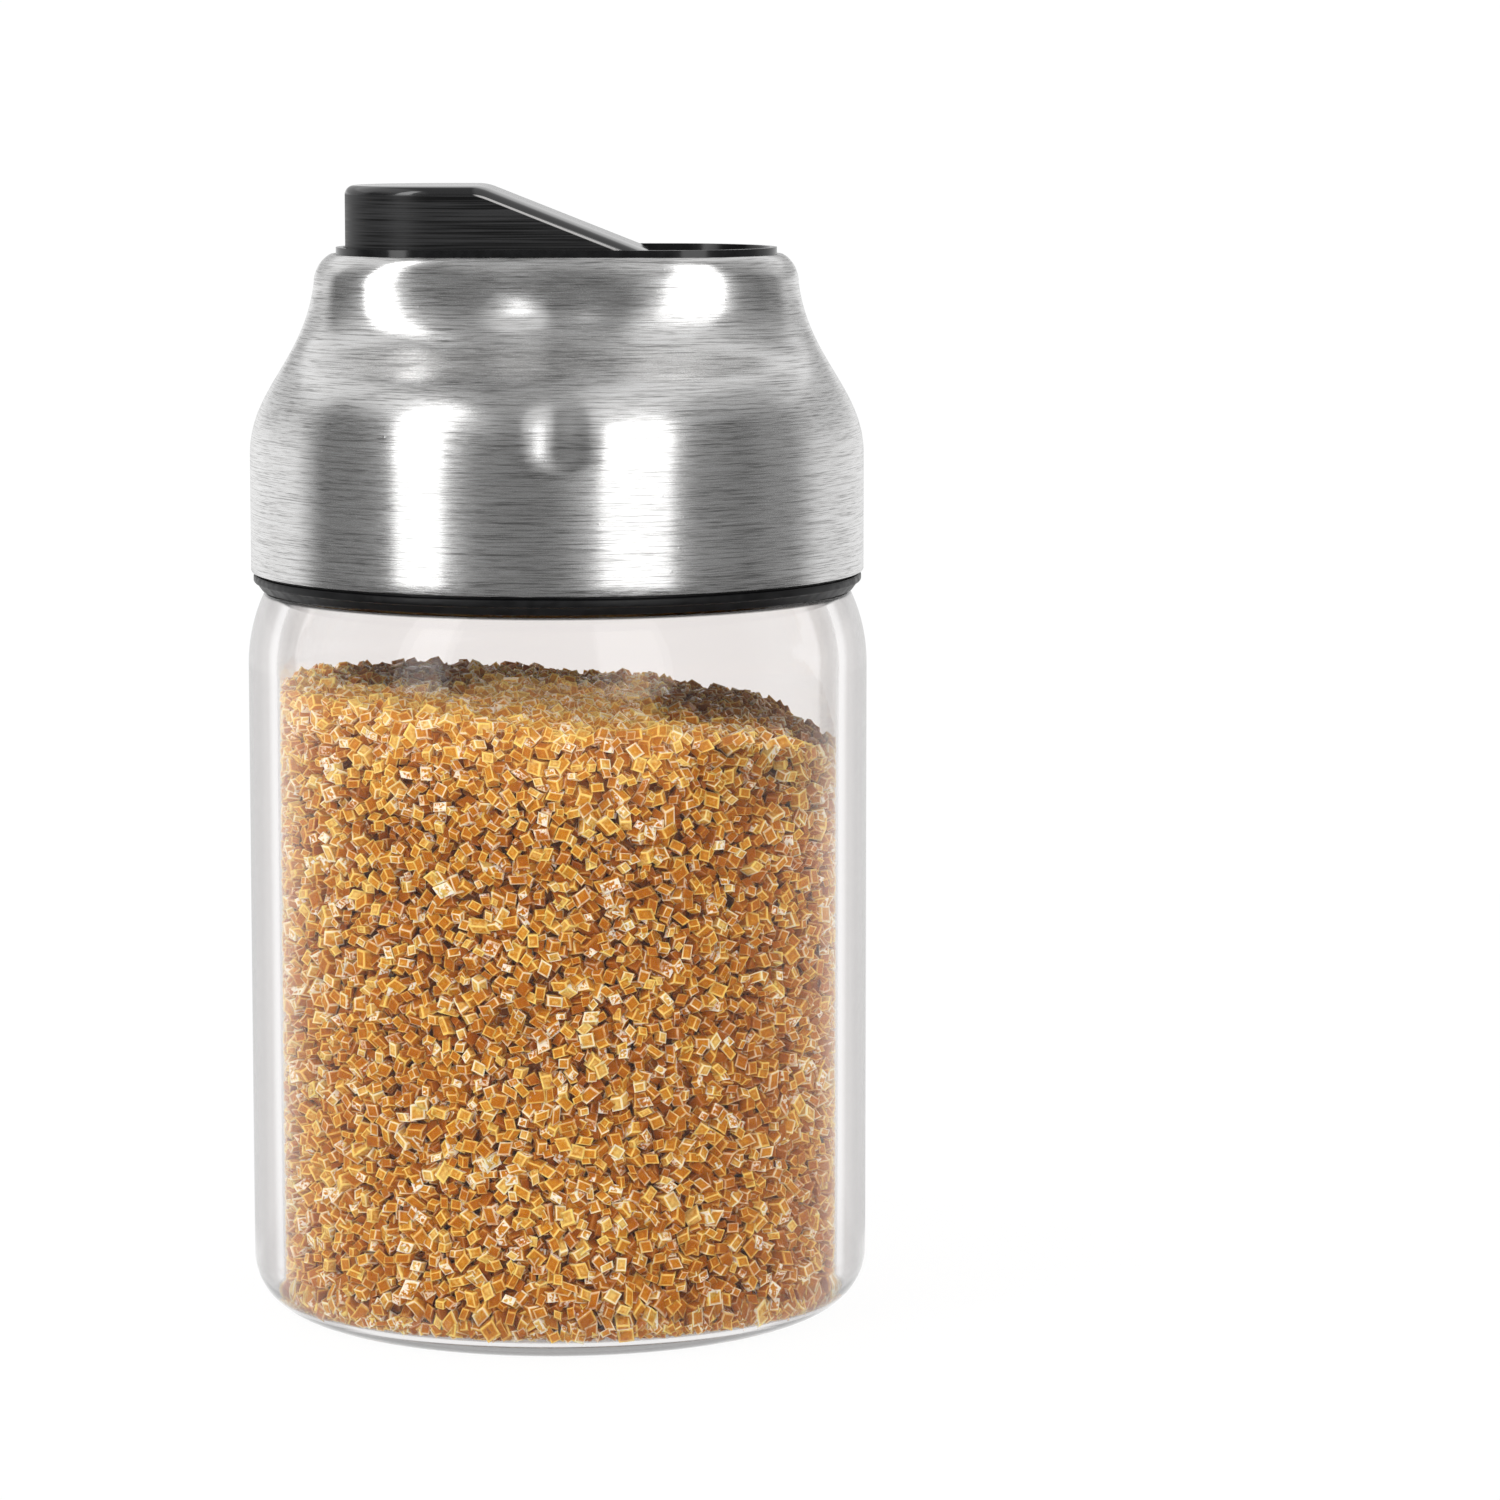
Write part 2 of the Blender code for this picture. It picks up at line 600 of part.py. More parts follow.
def carrier(look, group, cutters):
    """The plate inside the cover with the hinge barrel and the two stud holes."""
    front = flap_front(FLAP_WALL + CLEARANCE)
    top = FLAP_BOTTOM + CARRIER_THICK
    plate = [[(x, y, FLAP_BOTTOM) for x, y in front], [(x, y, top) for x, y in front]]
    made = flap_loft("flap_carrier", plate, look, group)
    place = (HINGE_REACH, HINGE_Z)
    barrel = rod("carrier_barrel", BARREL_RADIUS, -INNER_WIDTH, INNER_WIDTH, place, None, cutters)
    combine(made, as_cutter(barrel), "UNION")
    bore = rod("carrier_bore", BORE_RADIUS, -FLAP_RADIUS, FLAP_RADIUS, place, None, cutters)
    combine(made, as_cutter(bore), "DIFFERENCE")
    for side, sign in (("left", -1), ("right", 1)):
        at = (MOUTH_CENTRE + sign * STUD_SPREAD, 0.0)
        hole = rod(
            f"stud_hole_{side}", STUD_RADIUS + CLEARANCE, FLAP_BOTTOM - OVERRUN, top + OVERRUN,
            at, None, cutters, across=False,
        )
        combine(made, as_cutter(hole), "DIFFERENCE")
    set_origin(made, (HINGE_REACH, 0.0, HINGE_Z))
    return made


def seal(look, group, cutters):
    """The soft pad over the mouth, its plug below and its two studs above."""
    top = SEAL_BOTTOM + SEAL_THICK
    outline = stadium(MOUTH_HALF, MOUTH_RADIUS + SEAL_OVERLAP, centre=MOUTH_CENTRE)
    made = prism("flap_seal", outline, SEAL_BOTTOM, top, look, group)
    plug_outline = stadium(MOUTH_HALF, MOUTH_RADIUS - SEAL_PLUG_CLEARANCE, centre=MOUTH_CENTRE)
    plug = prism("seal_plug", plug_outline, SEAL_BOTTOM - SEAL_PLUG, top - SEAL_THICK / 2, None, cutters)
    combine(made, as_cutter(plug), "UNION")
    head_low = FLAP_BOTTOM + CARRIER_THICK + CLEARANCE
    for side, sign in (("left", -1), ("right", 1)):
        at = (MOUTH_CENTRE + sign * STUD_SPREAD, 0.0)
        stem = rod(
            f"seal_stem_{side}", STUD_RADIUS, top - SEAL_THICK / 2, head_low + STUD_HEAD_THICK / 2,
            at, None, cutters, across=False,
        )
        combine(made, as_cutter(stem), "UNION")
        head = rod(
            f"seal_head_{side}", STUD_HEAD_RADIUS, head_low, head_low + STUD_HEAD_THICK,
            at, None, cutters, across=False,
        )
        combine(made, as_cutter(head), "UNION")
    set_origin(made, (HINGE_REACH, 0.0, HINGE_Z))
    return made


def hinge_pin(look, group):
    """The steel pin across the cup."""
    return rod("hinge_pin", PIN_RADIUS, -PIN_REACH, PIN_REACH, (HINGE_REACH, HINGE_Z), look, group)


def build():
    """Make every piece of the dispenser."""
    clear_scene()
    group = collection("sugar_dispenser")
    cutters = collection("cutters")
    glass = material("clear_glass", (0.95, 0.96, 0.96), 0.02, transmission=1.0)
    crystals = material("brown_sugar", (0.48, 0.22, 0.06), 0.35)
    steel = material("brushed_steel", (0.62, 0.62, 0.61), 0.28, metallic=1.0)
    black = material("black_plastic", (0.012, 0.012, 0.012), 0.22)
    satin = material("brushed_black", (0.030, 0.030, 0.031), 0.35)
    soft = material("clear_silicone", (0.75, 0.75, 0.73), 0.55)
    pin_steel = material("pin_steel", (0.60, 0.60, 0.60), 0.20, metallic=1.0)
    jar(glass, group)
    sugar(crystals, group)
    gasket(soft, group)
    liner(black, group, cutters)
    shell(steel, group)
    insert(black, group, cutters)
    flap_cover(satin, group, cutters)
    carrier(black, group, cutters)
    seal(soft, group, cutters)
    hinge_pin(pin_steel, group)


build()
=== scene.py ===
"""Looks of a glass sugar dispenser with a steel-covered screw cap and a rocking pouring flap.

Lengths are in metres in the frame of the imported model: the origin is the centre of the glass base,
+Z is up, the pouring flap is at -X and the camera looks along +Y.
"""
import math

import bmesh
import bpy
import numpy as np
from mathutils import Matrix, Vector, noise


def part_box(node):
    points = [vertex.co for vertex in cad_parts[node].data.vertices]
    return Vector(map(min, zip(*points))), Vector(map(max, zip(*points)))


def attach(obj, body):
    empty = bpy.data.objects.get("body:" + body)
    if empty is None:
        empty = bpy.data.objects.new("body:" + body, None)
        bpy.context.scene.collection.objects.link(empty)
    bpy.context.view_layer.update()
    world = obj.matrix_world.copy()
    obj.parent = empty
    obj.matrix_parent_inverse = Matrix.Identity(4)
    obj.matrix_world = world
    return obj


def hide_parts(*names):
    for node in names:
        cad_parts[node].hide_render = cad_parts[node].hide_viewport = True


bl_info = {
    "name": "Sugar Dispenser Looks",
    "version": (1, 0, 0),
    "blender": (4, 5, 0),
    "location": "3D View > Sidebar > Sugar",
    "description": "Builds the visible glass, sugar, steel and plastic of a flap-top sugar dispenser",
    "category": "Object",
}

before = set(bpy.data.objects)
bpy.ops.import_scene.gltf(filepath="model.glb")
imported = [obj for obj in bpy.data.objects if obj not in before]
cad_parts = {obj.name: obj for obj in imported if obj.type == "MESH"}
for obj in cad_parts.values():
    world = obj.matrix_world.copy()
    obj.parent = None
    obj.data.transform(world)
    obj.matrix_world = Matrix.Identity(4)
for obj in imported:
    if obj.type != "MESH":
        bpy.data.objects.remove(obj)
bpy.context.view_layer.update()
JAR_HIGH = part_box("glass_jar")[1]
SHELL_LOW, SHELL_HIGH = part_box("cap_shell")
LINER_LOW, LINER_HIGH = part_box("cap_liner")
GASKET_LOW, GASKET_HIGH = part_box("jar_gasket")
INSERT_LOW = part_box("spout_insert")[0]
FLAP_LOW, FLAP_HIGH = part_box("flap_cover")
PIN_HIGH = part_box("hinge_pin")[1]

QUARTER = math.pi / 2
# Steps around a turned piece, and the angle from which an edge stays sharp.
FINE_TURN = 192
SMOOTH_ANGLE = math.radians(32)
# The play between fitted pieces, and how far a cutter reaches beyond what it cuts.
GAP = 0.0003
OVERRUN = 0.003
# What pieces share: the chute's wall, the radius of the pin's hole, the turns of the thread and its fade.
CHUTE_WALL = 0.0012
PIN_HOLE = 0.0013
THREAD_TURNS = 1.35
THREAD_FADE = 0.08
# A length times this runs from 0 to 1 over 20 mm.
OVER_20_MM = 50.0
# Noise that isn't stretched, and the corners of a square around the origin.
EVEN = (1.0, 1.0, 1.0)
SQUARE = ((-1, -1), (1, -1), (1, 1), (-1, 1))


def length(name, text, default):
    """A length that a user may change."""
    return bpy.props.FloatProperty(
        name=name, description=text, default=default, min=0.0, precision=5, subtype="DISTANCE", unit="LENGTH"
    )


def share(name, text, default):
    """A plain factor that a user may change."""
    return bpy.props.FloatProperty(name=name, description=text, default=default, min=0.0, precision=3)


def angle(name, text, degrees):
    """An angle that a user may change."""
    return bpy.props.FloatProperty(
        name=name, description=text, default=math.radians(degrees), subtype="ANGLE", unit="ROTATION"
    )


def colour(name, text, default):
    """A linear colour that a user may change."""
    return bpy.props.FloatVectorProperty(
        name=name, description=text, default=default, min=0.0, max=1.0, size=3, subtype="COLOR"
    )


class DispenserGlass(bpy.types.PropertyGroup):
    """Sizes and tint of the blown glass jar."""

    radius: length("Radius", "Outer radius of the jar", JAR_HIGH.x)
    rim: length("Rim height", "Height of the rim of the neck", JAR_HIGH.z)
    wall: length("Wall", "Thickness of the glass wall", 0.0036)
    floor: length("Floor", "Thickness of the glass floor", 0.0026)
    base_corner: length("Base corner", "Outer radius between base and wall", 0.0070)
    floor_corner: length("Floor corner", "Inner radius between floor and wall", 0.0018)
    shoulder_start: length("Shoulder start", "Height where the shoulder starts", 0.0840)
    shoulder_curve: length("Shoulder curve", "Radius of the shoulder's long curve", 0.0217)
    shoulder_turn: angle("Shoulder turn", "How far the long curve leans in", 25.6)
    shoulder_edge: length("Shoulder edge", "Radius where the shoulder turns flat", 0.0004)
    pushup: length("Push-up", "How far the underside is pushed up", 0.0007)
    neck_step: length("Neck step", "How far the neck is drawn in", 0.00415)
    neck_wall: length("Neck wall", "Thickness of the neck", 0.0040)
    rim_round: length("Rim round", "Radius of the fire-polished rim", 0.0010)
    thread_height: length("Thread height", "How far the ridge stands out", 0.00105)
    thread_half: length("Thread half width", "Half width of the ridge", 0.0011)
    thread_lead: length("Thread lead", "Rise of the ridge in one turn", 0.0050)
    thread_start: length("Thread start", "How far below the rim the ridge ends", 0.0015)
    tint: colour("Tint", "Colour of the glass", (0.917, 0.894, 0.885))
    # Below the glass's own tint: painted light where the glass starts to turn away, and painted shade beside
    # the contents and along its edge.
    side_painted_light: colour("Side tint", "Colour where the glass starts to turn away", (0.975, 0.963, 0.958))
    wall_painted_shade: colour("Wall tint", "Colour beside the contents", (0.54, 0.523, 0.514))
    edge_painted_shade: colour("Edge tint", "Colour where the glass is seen along its wall", (0.42, 0.405, 0.40))


class DispenserSugar(bpy.types.PropertyGroup):
    """Size, number and colours of the sugar crystals."""

    height: length("Height", "Mean height of the sugar", 0.0790)
    tilt: length("Tilt", "How much higher the left side lies", 0.0028)
    mound: length("Mound", "How far the middle is heaped", 0.0008)
    slump: length("Slump", "How far the right edge sinks", 0.0024)
    row_step: length("Row step", "Distance between rows of crystals", 0.00146)
    crystal_long: length("Long side", "Mean long side of a crystal", 0.00182)
    crystal_wide: length("Wide side", "Mean middle side of a crystal", 0.00138)
    crystal_thick: length("Thin side", "Mean thin side of a crystal", 0.00120)
    seed: bpy.props.IntProperty(name="Seed", description="Start of the random numbers", default=23)
    straw: colour("Straw", "Light crystals", (0.76, 0.335, 0.022))
    amber: colour("Amber", "Middle crystals", (0.54, 0.172, 0.002))
    dark: colour("Dark", "Darkest crystals", (0.37, 0.098, 0.002))
    # The rim colour is used for painted highlights, the light edges and glints of the crystals, and as the
    # lightest crystal tone.
    rim: colour("Rim", "Light edges and glints of the crystals", (1.0, 0.71, 0.20))


class DispenserSteel(bpy.types.PropertyGroup):
    """Form and finish of the brushed steel cover."""

    bottom: length("Bottom", "Height of the lower edge", SHELL_LOW.z)
    top: length("Top", "Height of the upper edge", SHELL_HIGH.z)
    radius: length("Radius", "Radius of the round lower part", 0.0395)
    wall: length("Wall", "Thickness of the sheet", 0.0006)
    pinch_start: length("Pinch start", "Height where the cover starts to draw in", 0.111015)
    pinch_height: length("Pinch height", "Height of the drawn-in stretch", 0.0220)
    top_length: length("Top length", "Length of the long top", 0.0622)
    top_width: length("Top width", "Width of the long top", 0.0340)
    edge_inset: length("Edge inset", "Inset of the rounded top edge's curve", 0.0035)
    opening_inset: length("Opening inset", "How far the top edge turns in", 0.00225)
    fullness: share("Fullness", "How much squarer than an oval the drawn-in plan is", 0.7)
    dimple_depth: length("Dimple depth", "Depth of the finger dimple at the front and back", 0.0015)
    dimple_width: length("Dimple width", "Reach of the dimple to either side", 0.0065)
    dimple_middle: length("Dimple middle", "Height of the dimple's middle", 0.1300)
    dimple_reach: length("Dimple reach", "Reach of the dimple up and down", 0.0040)
    groove_depth: length("Groove depth", "Depth of the groove below the dimple", 0.0007)
    groove_width: length("Groove width", "Reach of the groove to either side", 0.0030)
    groove_place: length("Groove place", "Where across the front the groove runs", 0.0010)
    colour: colour("Colour", "Colour of the steel", (0.89, 0.883, 0.876))
    roughness: share("Roughness", "Roughness of the brushed face", 0.25)
    brush: share("Brush", "Strength of the brush lines", 1.0)


class DispenserBlack(bpy.types.PropertyGroup):
    """Sizes and finish of the black plastic pieces."""

    lip_rise: length("Lip rise", "How far the lip stands above the steel", 0.0008)
    lip_wall: length("Lip wall", "Width of the lip", 0.0009)
    cup_wall: length("Cup wall", "Thickness of the cup's floor", 0.0014)
    seat_drop: length("Seat drop", "Depth of the seat below the lip", 0.0069)
    well_depth: length("Well depth", "Depth of the thumb well", 0.0127)
    well_start: length("Well start", "Where the thumb well starts", 0.0065)
    ramp_start: length("Ramp start", "Where the well's ramp starts", 0.0132)
    ramp_drop: length("Ramp drop", "How far below the lip the ramp ends", 0.0027)
    hinge_reach: length("Hinge reach", "Distance from the axis to the hinge", 0.0070)
    hinge_drop: length("Hinge drop", "Depth of the hinge below the lip", 0.0043)
    flat_length: length("Flat length", "Length of the flap's level top", 0.0177)
    tail_thick: length("Tail thickness", "Thickness of the flap's tail", 0.0034)
    bend_radius: length("Bend radius", "Radius between level top and slope", 0.0060)
    edge_round: length("Edge round", "Radius of the flap's top edge", 0.0012)
    plastic: colour("Plastic", "Colour of the glossy black plastic", (0.006, 0.006, 0.0065))
    satin: colour("Satin", "Colour of the flap's brushed face", (0.012, 0.012, 0.0125))


class DispenserStage(bpy.types.PropertyGroup):
    """Camera, lamps and floor."""

    lens: share("Lens", "Focal length in millimetres on a 36 mm sensor", 134.4)
    camera_place: bpy.props.FloatVectorProperty(
        name="Camera", description="Place of the camera", subtype="TRANSLATION",
        default=(0.02484, -0.7214, 0.1618),
    )
    camera_pitch: angle("Pitch", "How far the camera looks down", 7.06)
    lamp_reach: length("Lamp reach", "Distance from the object to the lamps", 0.9)
    left_power: share("Left power", "Radiance of the narrow left softbox", 2.3)
    right_power: share("Right power", "Radiance of the wide right softbox", 1.65)
    room: share("Room", "Brightness of the dim front of the room", 0.35)
    ceiling: share("Ceiling", "Brightness overhead", 0.42)
    floor_radius: length("Floor radius", "Radius of the pale floor", 0.40)


def settings(name):
    """The named group of settings of the scene."""
    return getattr(bpy.context.scene, f"dispenser_{name}")


def arc(centre_x, centre_z, radius, start, end, steps):
    """Points on an arc from one angle to another."""
    turns = [start + (end - start) * step / steps for step in range(steps + 1)]
    return [(centre_x + radius * math.cos(turn), centre_z + radius * math.sin(turn)) for turn in turns]


def straight(start, end, steps):
    """Points between two points, without the first and the last."""
    return [
        (start[0] + (end[0] - start[0]) * step / steps, start[1] + (end[1] - start[1]) * step / steps)
        for step in range(1, steps)
    ]


def stadium(half, radius, steps=96, centre=0.0):
    """Outline of a long round-ended shape. No point lies where a straight side meets an end."""
    points = []
    for step in range(steps):
        turn = (step + 0.5) * math.tau / steps
        side = math.copysign(half, math.cos(turn))
        points.append((centre + side + radius * math.cos(turn), radius * math.sin(turn)))
    return points


def smooth_step(low, high, value):
    """A smooth rise from 0 to 1."""
    t = min(1.0, max(0.0, (value - low) / (high - low)))
    return t * t * (3 - 2 * t)


def add_object(name, mesh, finish=None):
    """Add a mesh to the scene, with its material if it keeps one."""
    obj = bpy.data.objects.new(name, mesh)
    bpy.context.scene.collection.objects.link(obj)
    if finish:
        mesh.materials.append(finish)
    return obj


def smooth(obj, sharp=SMOOTH_ANGLE):
    """Shade an object smooth apart from its sharp edges."""
    obj.data.shade_smooth()
    obj.data.set_sharp_from_angle(angle=sharp)


def from_bmesh(bm, name):
    """Turn a bmesh into a mesh and free it."""
    bmesh.ops.remove_doubles(bm, verts=bm.verts, dist=1e-7)
    mesh = bpy.data.meshes.new(name)
    bm.to_mesh(mesh)
    bm.free()
    return mesh


def skin(bm, rings, rising=False):
    """Join neighbouring rings with faces. The rings run down the outside, or up it when rising."""
    for first, second in zip(rings, rings[1:]):
        for i in range(len(first)):
            j = (i + 1) % len(first)
            corners = (first[i], second[i], second[j], first[j])
            if rising:
                corners = (first[i], first[j], second[j], second[i])
            bm.faces.new(list(dict.fromkeys(corners)))


def lathe(name, profile, finish, closed=False, reshape=None, steps=FINE_TURN):
    """Turn a profile that runs down its outer side about Z.

    A height may be a function of x and y, and reshape may move a point at its angle.
    """
    bm = bmesh.new()
    rings = []
    for r, z in profile:
        height = z if callable(z) else lambda x, y, level=z: level
        if r <= 0.0:
            rings.append([bm.verts.new((0.0, 0.0, height(0.0, 0.0)))] * steps)
            continue
        ring = []
        for step in range(steps):
            turn = math.tau * step / steps
            here = reshape(turn, r, z) if reshape else r
            x, y = here * math.cos(turn), here * math.sin(turn)
            ring.append(bm.verts.new((x, y, height(x, y))))
        rings.append(ring)
    skin(bm, rings + rings[:1] if closed else rings)
    obj = add_object(name, from_bmesh(bm, name), finish)
    smooth(obj)
    return obj


def prism(name, outline, low, high, upright=True):
    """Extrude an outline along Z, or an outline in X and Z along Y, as a cutter."""
    bm = bmesh.new()
    if upright:
        corners = [bm.verts.new((x, y, low)) for x, y in outline]
        rise = Vector((0.0, 0.0, high - low))
    else:
        corners = [bm.verts.new((x, low, z)) for x, z in outline]
        rise = Vector((0.0, high - low, 0.0))
    face = bm.faces.new(corners)
    raised = bmesh.ops.extrude_face_region(bm, geom=[face])["geom"]
    bmesh.ops.translate(bm, vec=rise, verts=[v for v in raised if isinstance(v, bmesh.types.BMVert)])
    bmesh.ops.recalc_face_normals(bm, faces=bm.faces)
    return add_object(name, from_bmesh(bm, name))


def rod(name, radius, reach, place, steps=40):
    """A cylinder along Y that reaches as far to the front as to the back, as a cutter."""
    bm = bmesh.new()
    bmesh.ops.create_cone(bm, cap_ends=True, segments=steps, radius1=radius, radius2=radius, depth=2 * reach)
    bmesh.ops.rotate(bm, cent=(0, 0, 0), matrix=Matrix.Rotation(math.pi / 2, 3, "X"), verts=bm.verts)
    bmesh.ops.translate(bm, vec=(place[0], 0.0, place[1]), verts=bm.verts)
    return add_object(name, from_bmesh(bm, name))


def settle(obj):
    """Apply every modifier of an object."""
    bpy.context.view_layer.update()
    graph = bpy.context.evaluated_depsgraph_get()
    mesh = bpy.data.meshes.new_from_object(obj.evaluated_get(graph))
    obj.modifiers.clear()
    old = obj.data
    obj.data = mesh
    mesh.name = obj.name
    bpy.data.meshes.remove(old)


def combine(obj, other, operation):
    """Join, cut or intersect an object with another, which goes."""
    change = obj.modifiers.new(operation.title(), "BOOLEAN")
    change.operation = operation
    change.object = other
    change.solver = "EXACT"
    settle(obj)
    bpy.data.objects.remove(other)


def round_edges(obj, width, segments, limit):
    """Round the edges of an object that are sharper than a limit, and shade it smooth."""
    bevel = obj.modifiers.new("Round", "BEVEL")
    bevel.width = width
    bevel.segments = segments
    bevel.limit_method = "ANGLE"
    bevel.angle_limit = math.radians(limit)
    bevel.use_clamp_overlap = True
    settle(obj)
    smooth(obj)


def dress(obj, body, slot, *nodes):
    """Let a piece ride on its body and stand for its nodes, whose parts it hides. The slot is not used."""
    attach(obj, body)
    if nodes:
        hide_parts(*nodes)


def look(name):
    """A new material with its node tree and its Principled shader."""
    made = bpy.data.materials.new(name)
    made.use_nodes = True
    tree = made.node_tree
    return made, tree, tree.nodes["Principled BSDF"]


def add(tree, kind, values=None, **properties):
    """Add a node with its properties and its input values."""
    node = tree.nodes.new(kind)
    for key, value in properties.items():
        setattr(node, key, value)
    for key, value in (values or {}).items():
        node.inputs[key].default_value = value
    return node


def join(tree, source, target):
    """Link an output to an input."""
    tree.links.new(source, target)


def feed(tree, value, socket):
    """Give an input an output, a number or a colour."""
    if isinstance(value, bpy.types.NodeSocket):
        join(tree, value, socket)
    elif isinstance(value, (int, float)):
        socket.default_value = value
    else:
        socket.default_value = (*tuple(value)[:3], 1.0)


def ramp(tree, source, stops, eased=True):
    """A colour ramp whose stops are places with colours or greys."""
    node = tree.nodes.new("ShaderNodeValToRGB")
    node.color_ramp.interpolation = "EASE" if eased else "LINEAR"
    points = node.color_ramp.elements
    while len(points) < len(stops):
        points.new(1.0)
    for point, (place, shade) in zip(points, stops):
        point.position = place
        tone = (shade, shade, shade) if isinstance(shade, (int, float)) else tuple(shade)
        point.color = (*tone, 1.0)
    join(tree, source, node.inputs["Fac"])
    return node.outputs["Color"]


def maths(tree, operation, first, second, clamp=False):
    """A Math node on sockets or numbers."""
    node = add(tree, "ShaderNodeMath", operation=operation, use_clamp=clamp)
    feed(tree, first, node.inputs[0])
    feed(tree, second, node.inputs[1])
    return node.outputs["Value"]


def times(tree, first, second):
    """The product of two sockets or numbers."""
    return maths(tree, "MULTIPLY", first, second)


def plus(tree, first, second, clamp=False):
    """The sum of two sockets or numbers."""
    return maths(tree, "ADD", first, second, clamp)


def split(tree, source):
    """The three parts of a vector."""
    node = tree.nodes.new("ShaderNodeSeparateXYZ")
    join(tree, source, node.inputs["Vector"])
    return tuple(node.outputs)


def rise_between(tree, source, low, high):
    """A straight rise from 0 to 1 between two values."""
    node = add(tree, "ShaderNodeMapRange", {"From Min": low, "From Max": high})
    join(tree, source, node.inputs["Value"])
    return node.outputs["Result"]


def mix_colour(tree, factor, first, second, blend="MIX"):
    """Mix two colours, each a socket or a colour."""
    node = add(tree, "ShaderNodeMix", data_type="RGBA", blend_type=blend)
    for socket, value in ((node.inputs["Factor"], factor), (node.inputs[6], first), (node.inputs[7], second)):
        feed(tree, value, socket)
    return node.outputs[2]


def multiply_colour(tree, first, second):
    """The product of two colours."""
    return mix_colour(tree, 1.0, first, second, blend="MULTIPLY")


def mix_shader(tree, factor, first, second):
    """Mix two shaders."""
    node = tree.nodes.new("ShaderNodeMixShader")
    for socket, source in zip(node.inputs, (factor, first, second)):
        join(tree, source, socket)
    return node.outputs["Shader"]


def coordinates(tree, kind="Object"):
    """The object's own coordinates, or another kind."""
    return add(tree, "ShaderNodeTexCoord").outputs[kind]


def attribute(tree, name, output="Fac"):
    """What a mesh notes for each of its faces or corners."""
    return add(tree, "ShaderNodeAttribute", attribute_name=name).outputs[output]


def stretched(tree, scale, kind="ShaderNodeTexNoise", size=1.0, detail=2.0):
    """Noise on the object's own coordinates, stretched by a scale for each axis."""
    mapping = add(tree, "ShaderNodeMapping", {"Scale": scale})
    join(tree, coordinates(tree), mapping.inputs["Vector"])
    texture = add(tree, kind, {"Scale": size})
    if kind == "ShaderNodeTexNoise":
        texture.inputs["Detail"].default_value = detail
    join(tree, mapping.outputs["Vector"], texture.inputs["Vector"])
    return texture


def bump(tree, height, strength, distance, shader):
    """Bump a shader by a height."""
    node = add(tree, "ShaderNodeBump", {"Strength": strength, "Distance": distance})
    join(tree, height, node.inputs["Height"])
    join(tree, node.outputs["Normal"], shader.inputs["Normal"])


def scaled(colour_value, factor):
    """A colour made darker or lighter."""
    return [min(1.0, factor * part) for part in colour_value]


def glass_look():
    """Clear glass with a painted darker edge, which lets the lamps through to the sugar.

    Its colour holds painted shade: a little darker at its foot, and a painted dark reflection of the black
    cap at its root under the cap. Light that has turned in it more often than the limit ends as a painted
    grey glow.
    """
    most_turns = 3.5
    chosen = settings("glass")
    made, tree, shader = look("clear_glass")
    shader.inputs["Transmission Weight"].default_value = 1.0
    shader.inputs["IOR"].default_value = 1.5
    shader.inputs["Roughness"].default_value = 0.0
    shader.inputs["Specular Tint"].default_value = (0.45, 0.45, 0.45, 1.0)
    facing = add(tree, "ShaderNodeLayerWeight", {"Blend": 0.5})
    # Painted light and shade by facing: lighter where the glass starts to turn away, darker beside the
    # contents and along its edge.
    tint = ramp(
        tree, facing.outputs["Facing"],
        [(0.20, chosen.tint), (0.42, chosen.side_painted_light), (0.61, chosen.side_painted_light), (0.665, chosen.wall_painted_shade),
         (0.75, chosen.edge_painted_shade), (0.95, chosen.edge_painted_shade)],
    )
    _, _, height = split(tree, coordinates(tree))
    # Painted shade: the glass is a little darker towards its foot.
    foot = ramp(tree, times(tree, height, OVER_20_MM), [(0.0, 0.90), (0.16, 0.88), (0.30, 0.86), (0.36, 1.0)])
    # Painted dark reflection of the black cap: the glass turns near black at the neck's root.
    above = maths(tree, "SUBTRACT", height, chosen.shoulder_start)
    root = ramp(tree, times(tree, above, OVER_20_MM), [(0.453, 0.0), (0.463, 1.0)])
    tint_with_painted_shade = mix_colour(tree, root, multiply_colour(tree, tint, foot), (0.01, 0.01, 0.01))
    join(tree, tint_with_painted_shade, shader.inputs["Base Color"])
    waves = stretched(tree, (45.0, 45.0, 22.0), detail=1.0)
    bump(tree, waves.outputs["Fac"], 0.25, 0.00006, shader)
    path = add(tree, "ShaderNodeLightPath")
    through = add(tree, "ShaderNodeBsdfTransparent")
    lets = maths(tree, "MAXIMUM", path.outputs["Is Shadow Ray"], path.outputs["Is Diffuse Ray"])
    clear = mix_shader(tree, lets, shader.outputs["BSDF"], through.outputs["BSDF"])
    # Painted glow: light that has turned in the glass more often than the limit ends as plain grey emission.
    guided = maths(tree, "GREATER_THAN", path.outputs["Glossy Depth"], most_turns)
    grey = add(tree, "ShaderNodeEmission", {"Color": (0.34, 0.335, 0.33, 1.0), "Strength": 1.0})
    ended = mix_shader(tree, guided, clear, grey.outputs["Emission"])
    join(tree, ended, tree.nodes["Material Output"].inputs["Surface"])
    return made


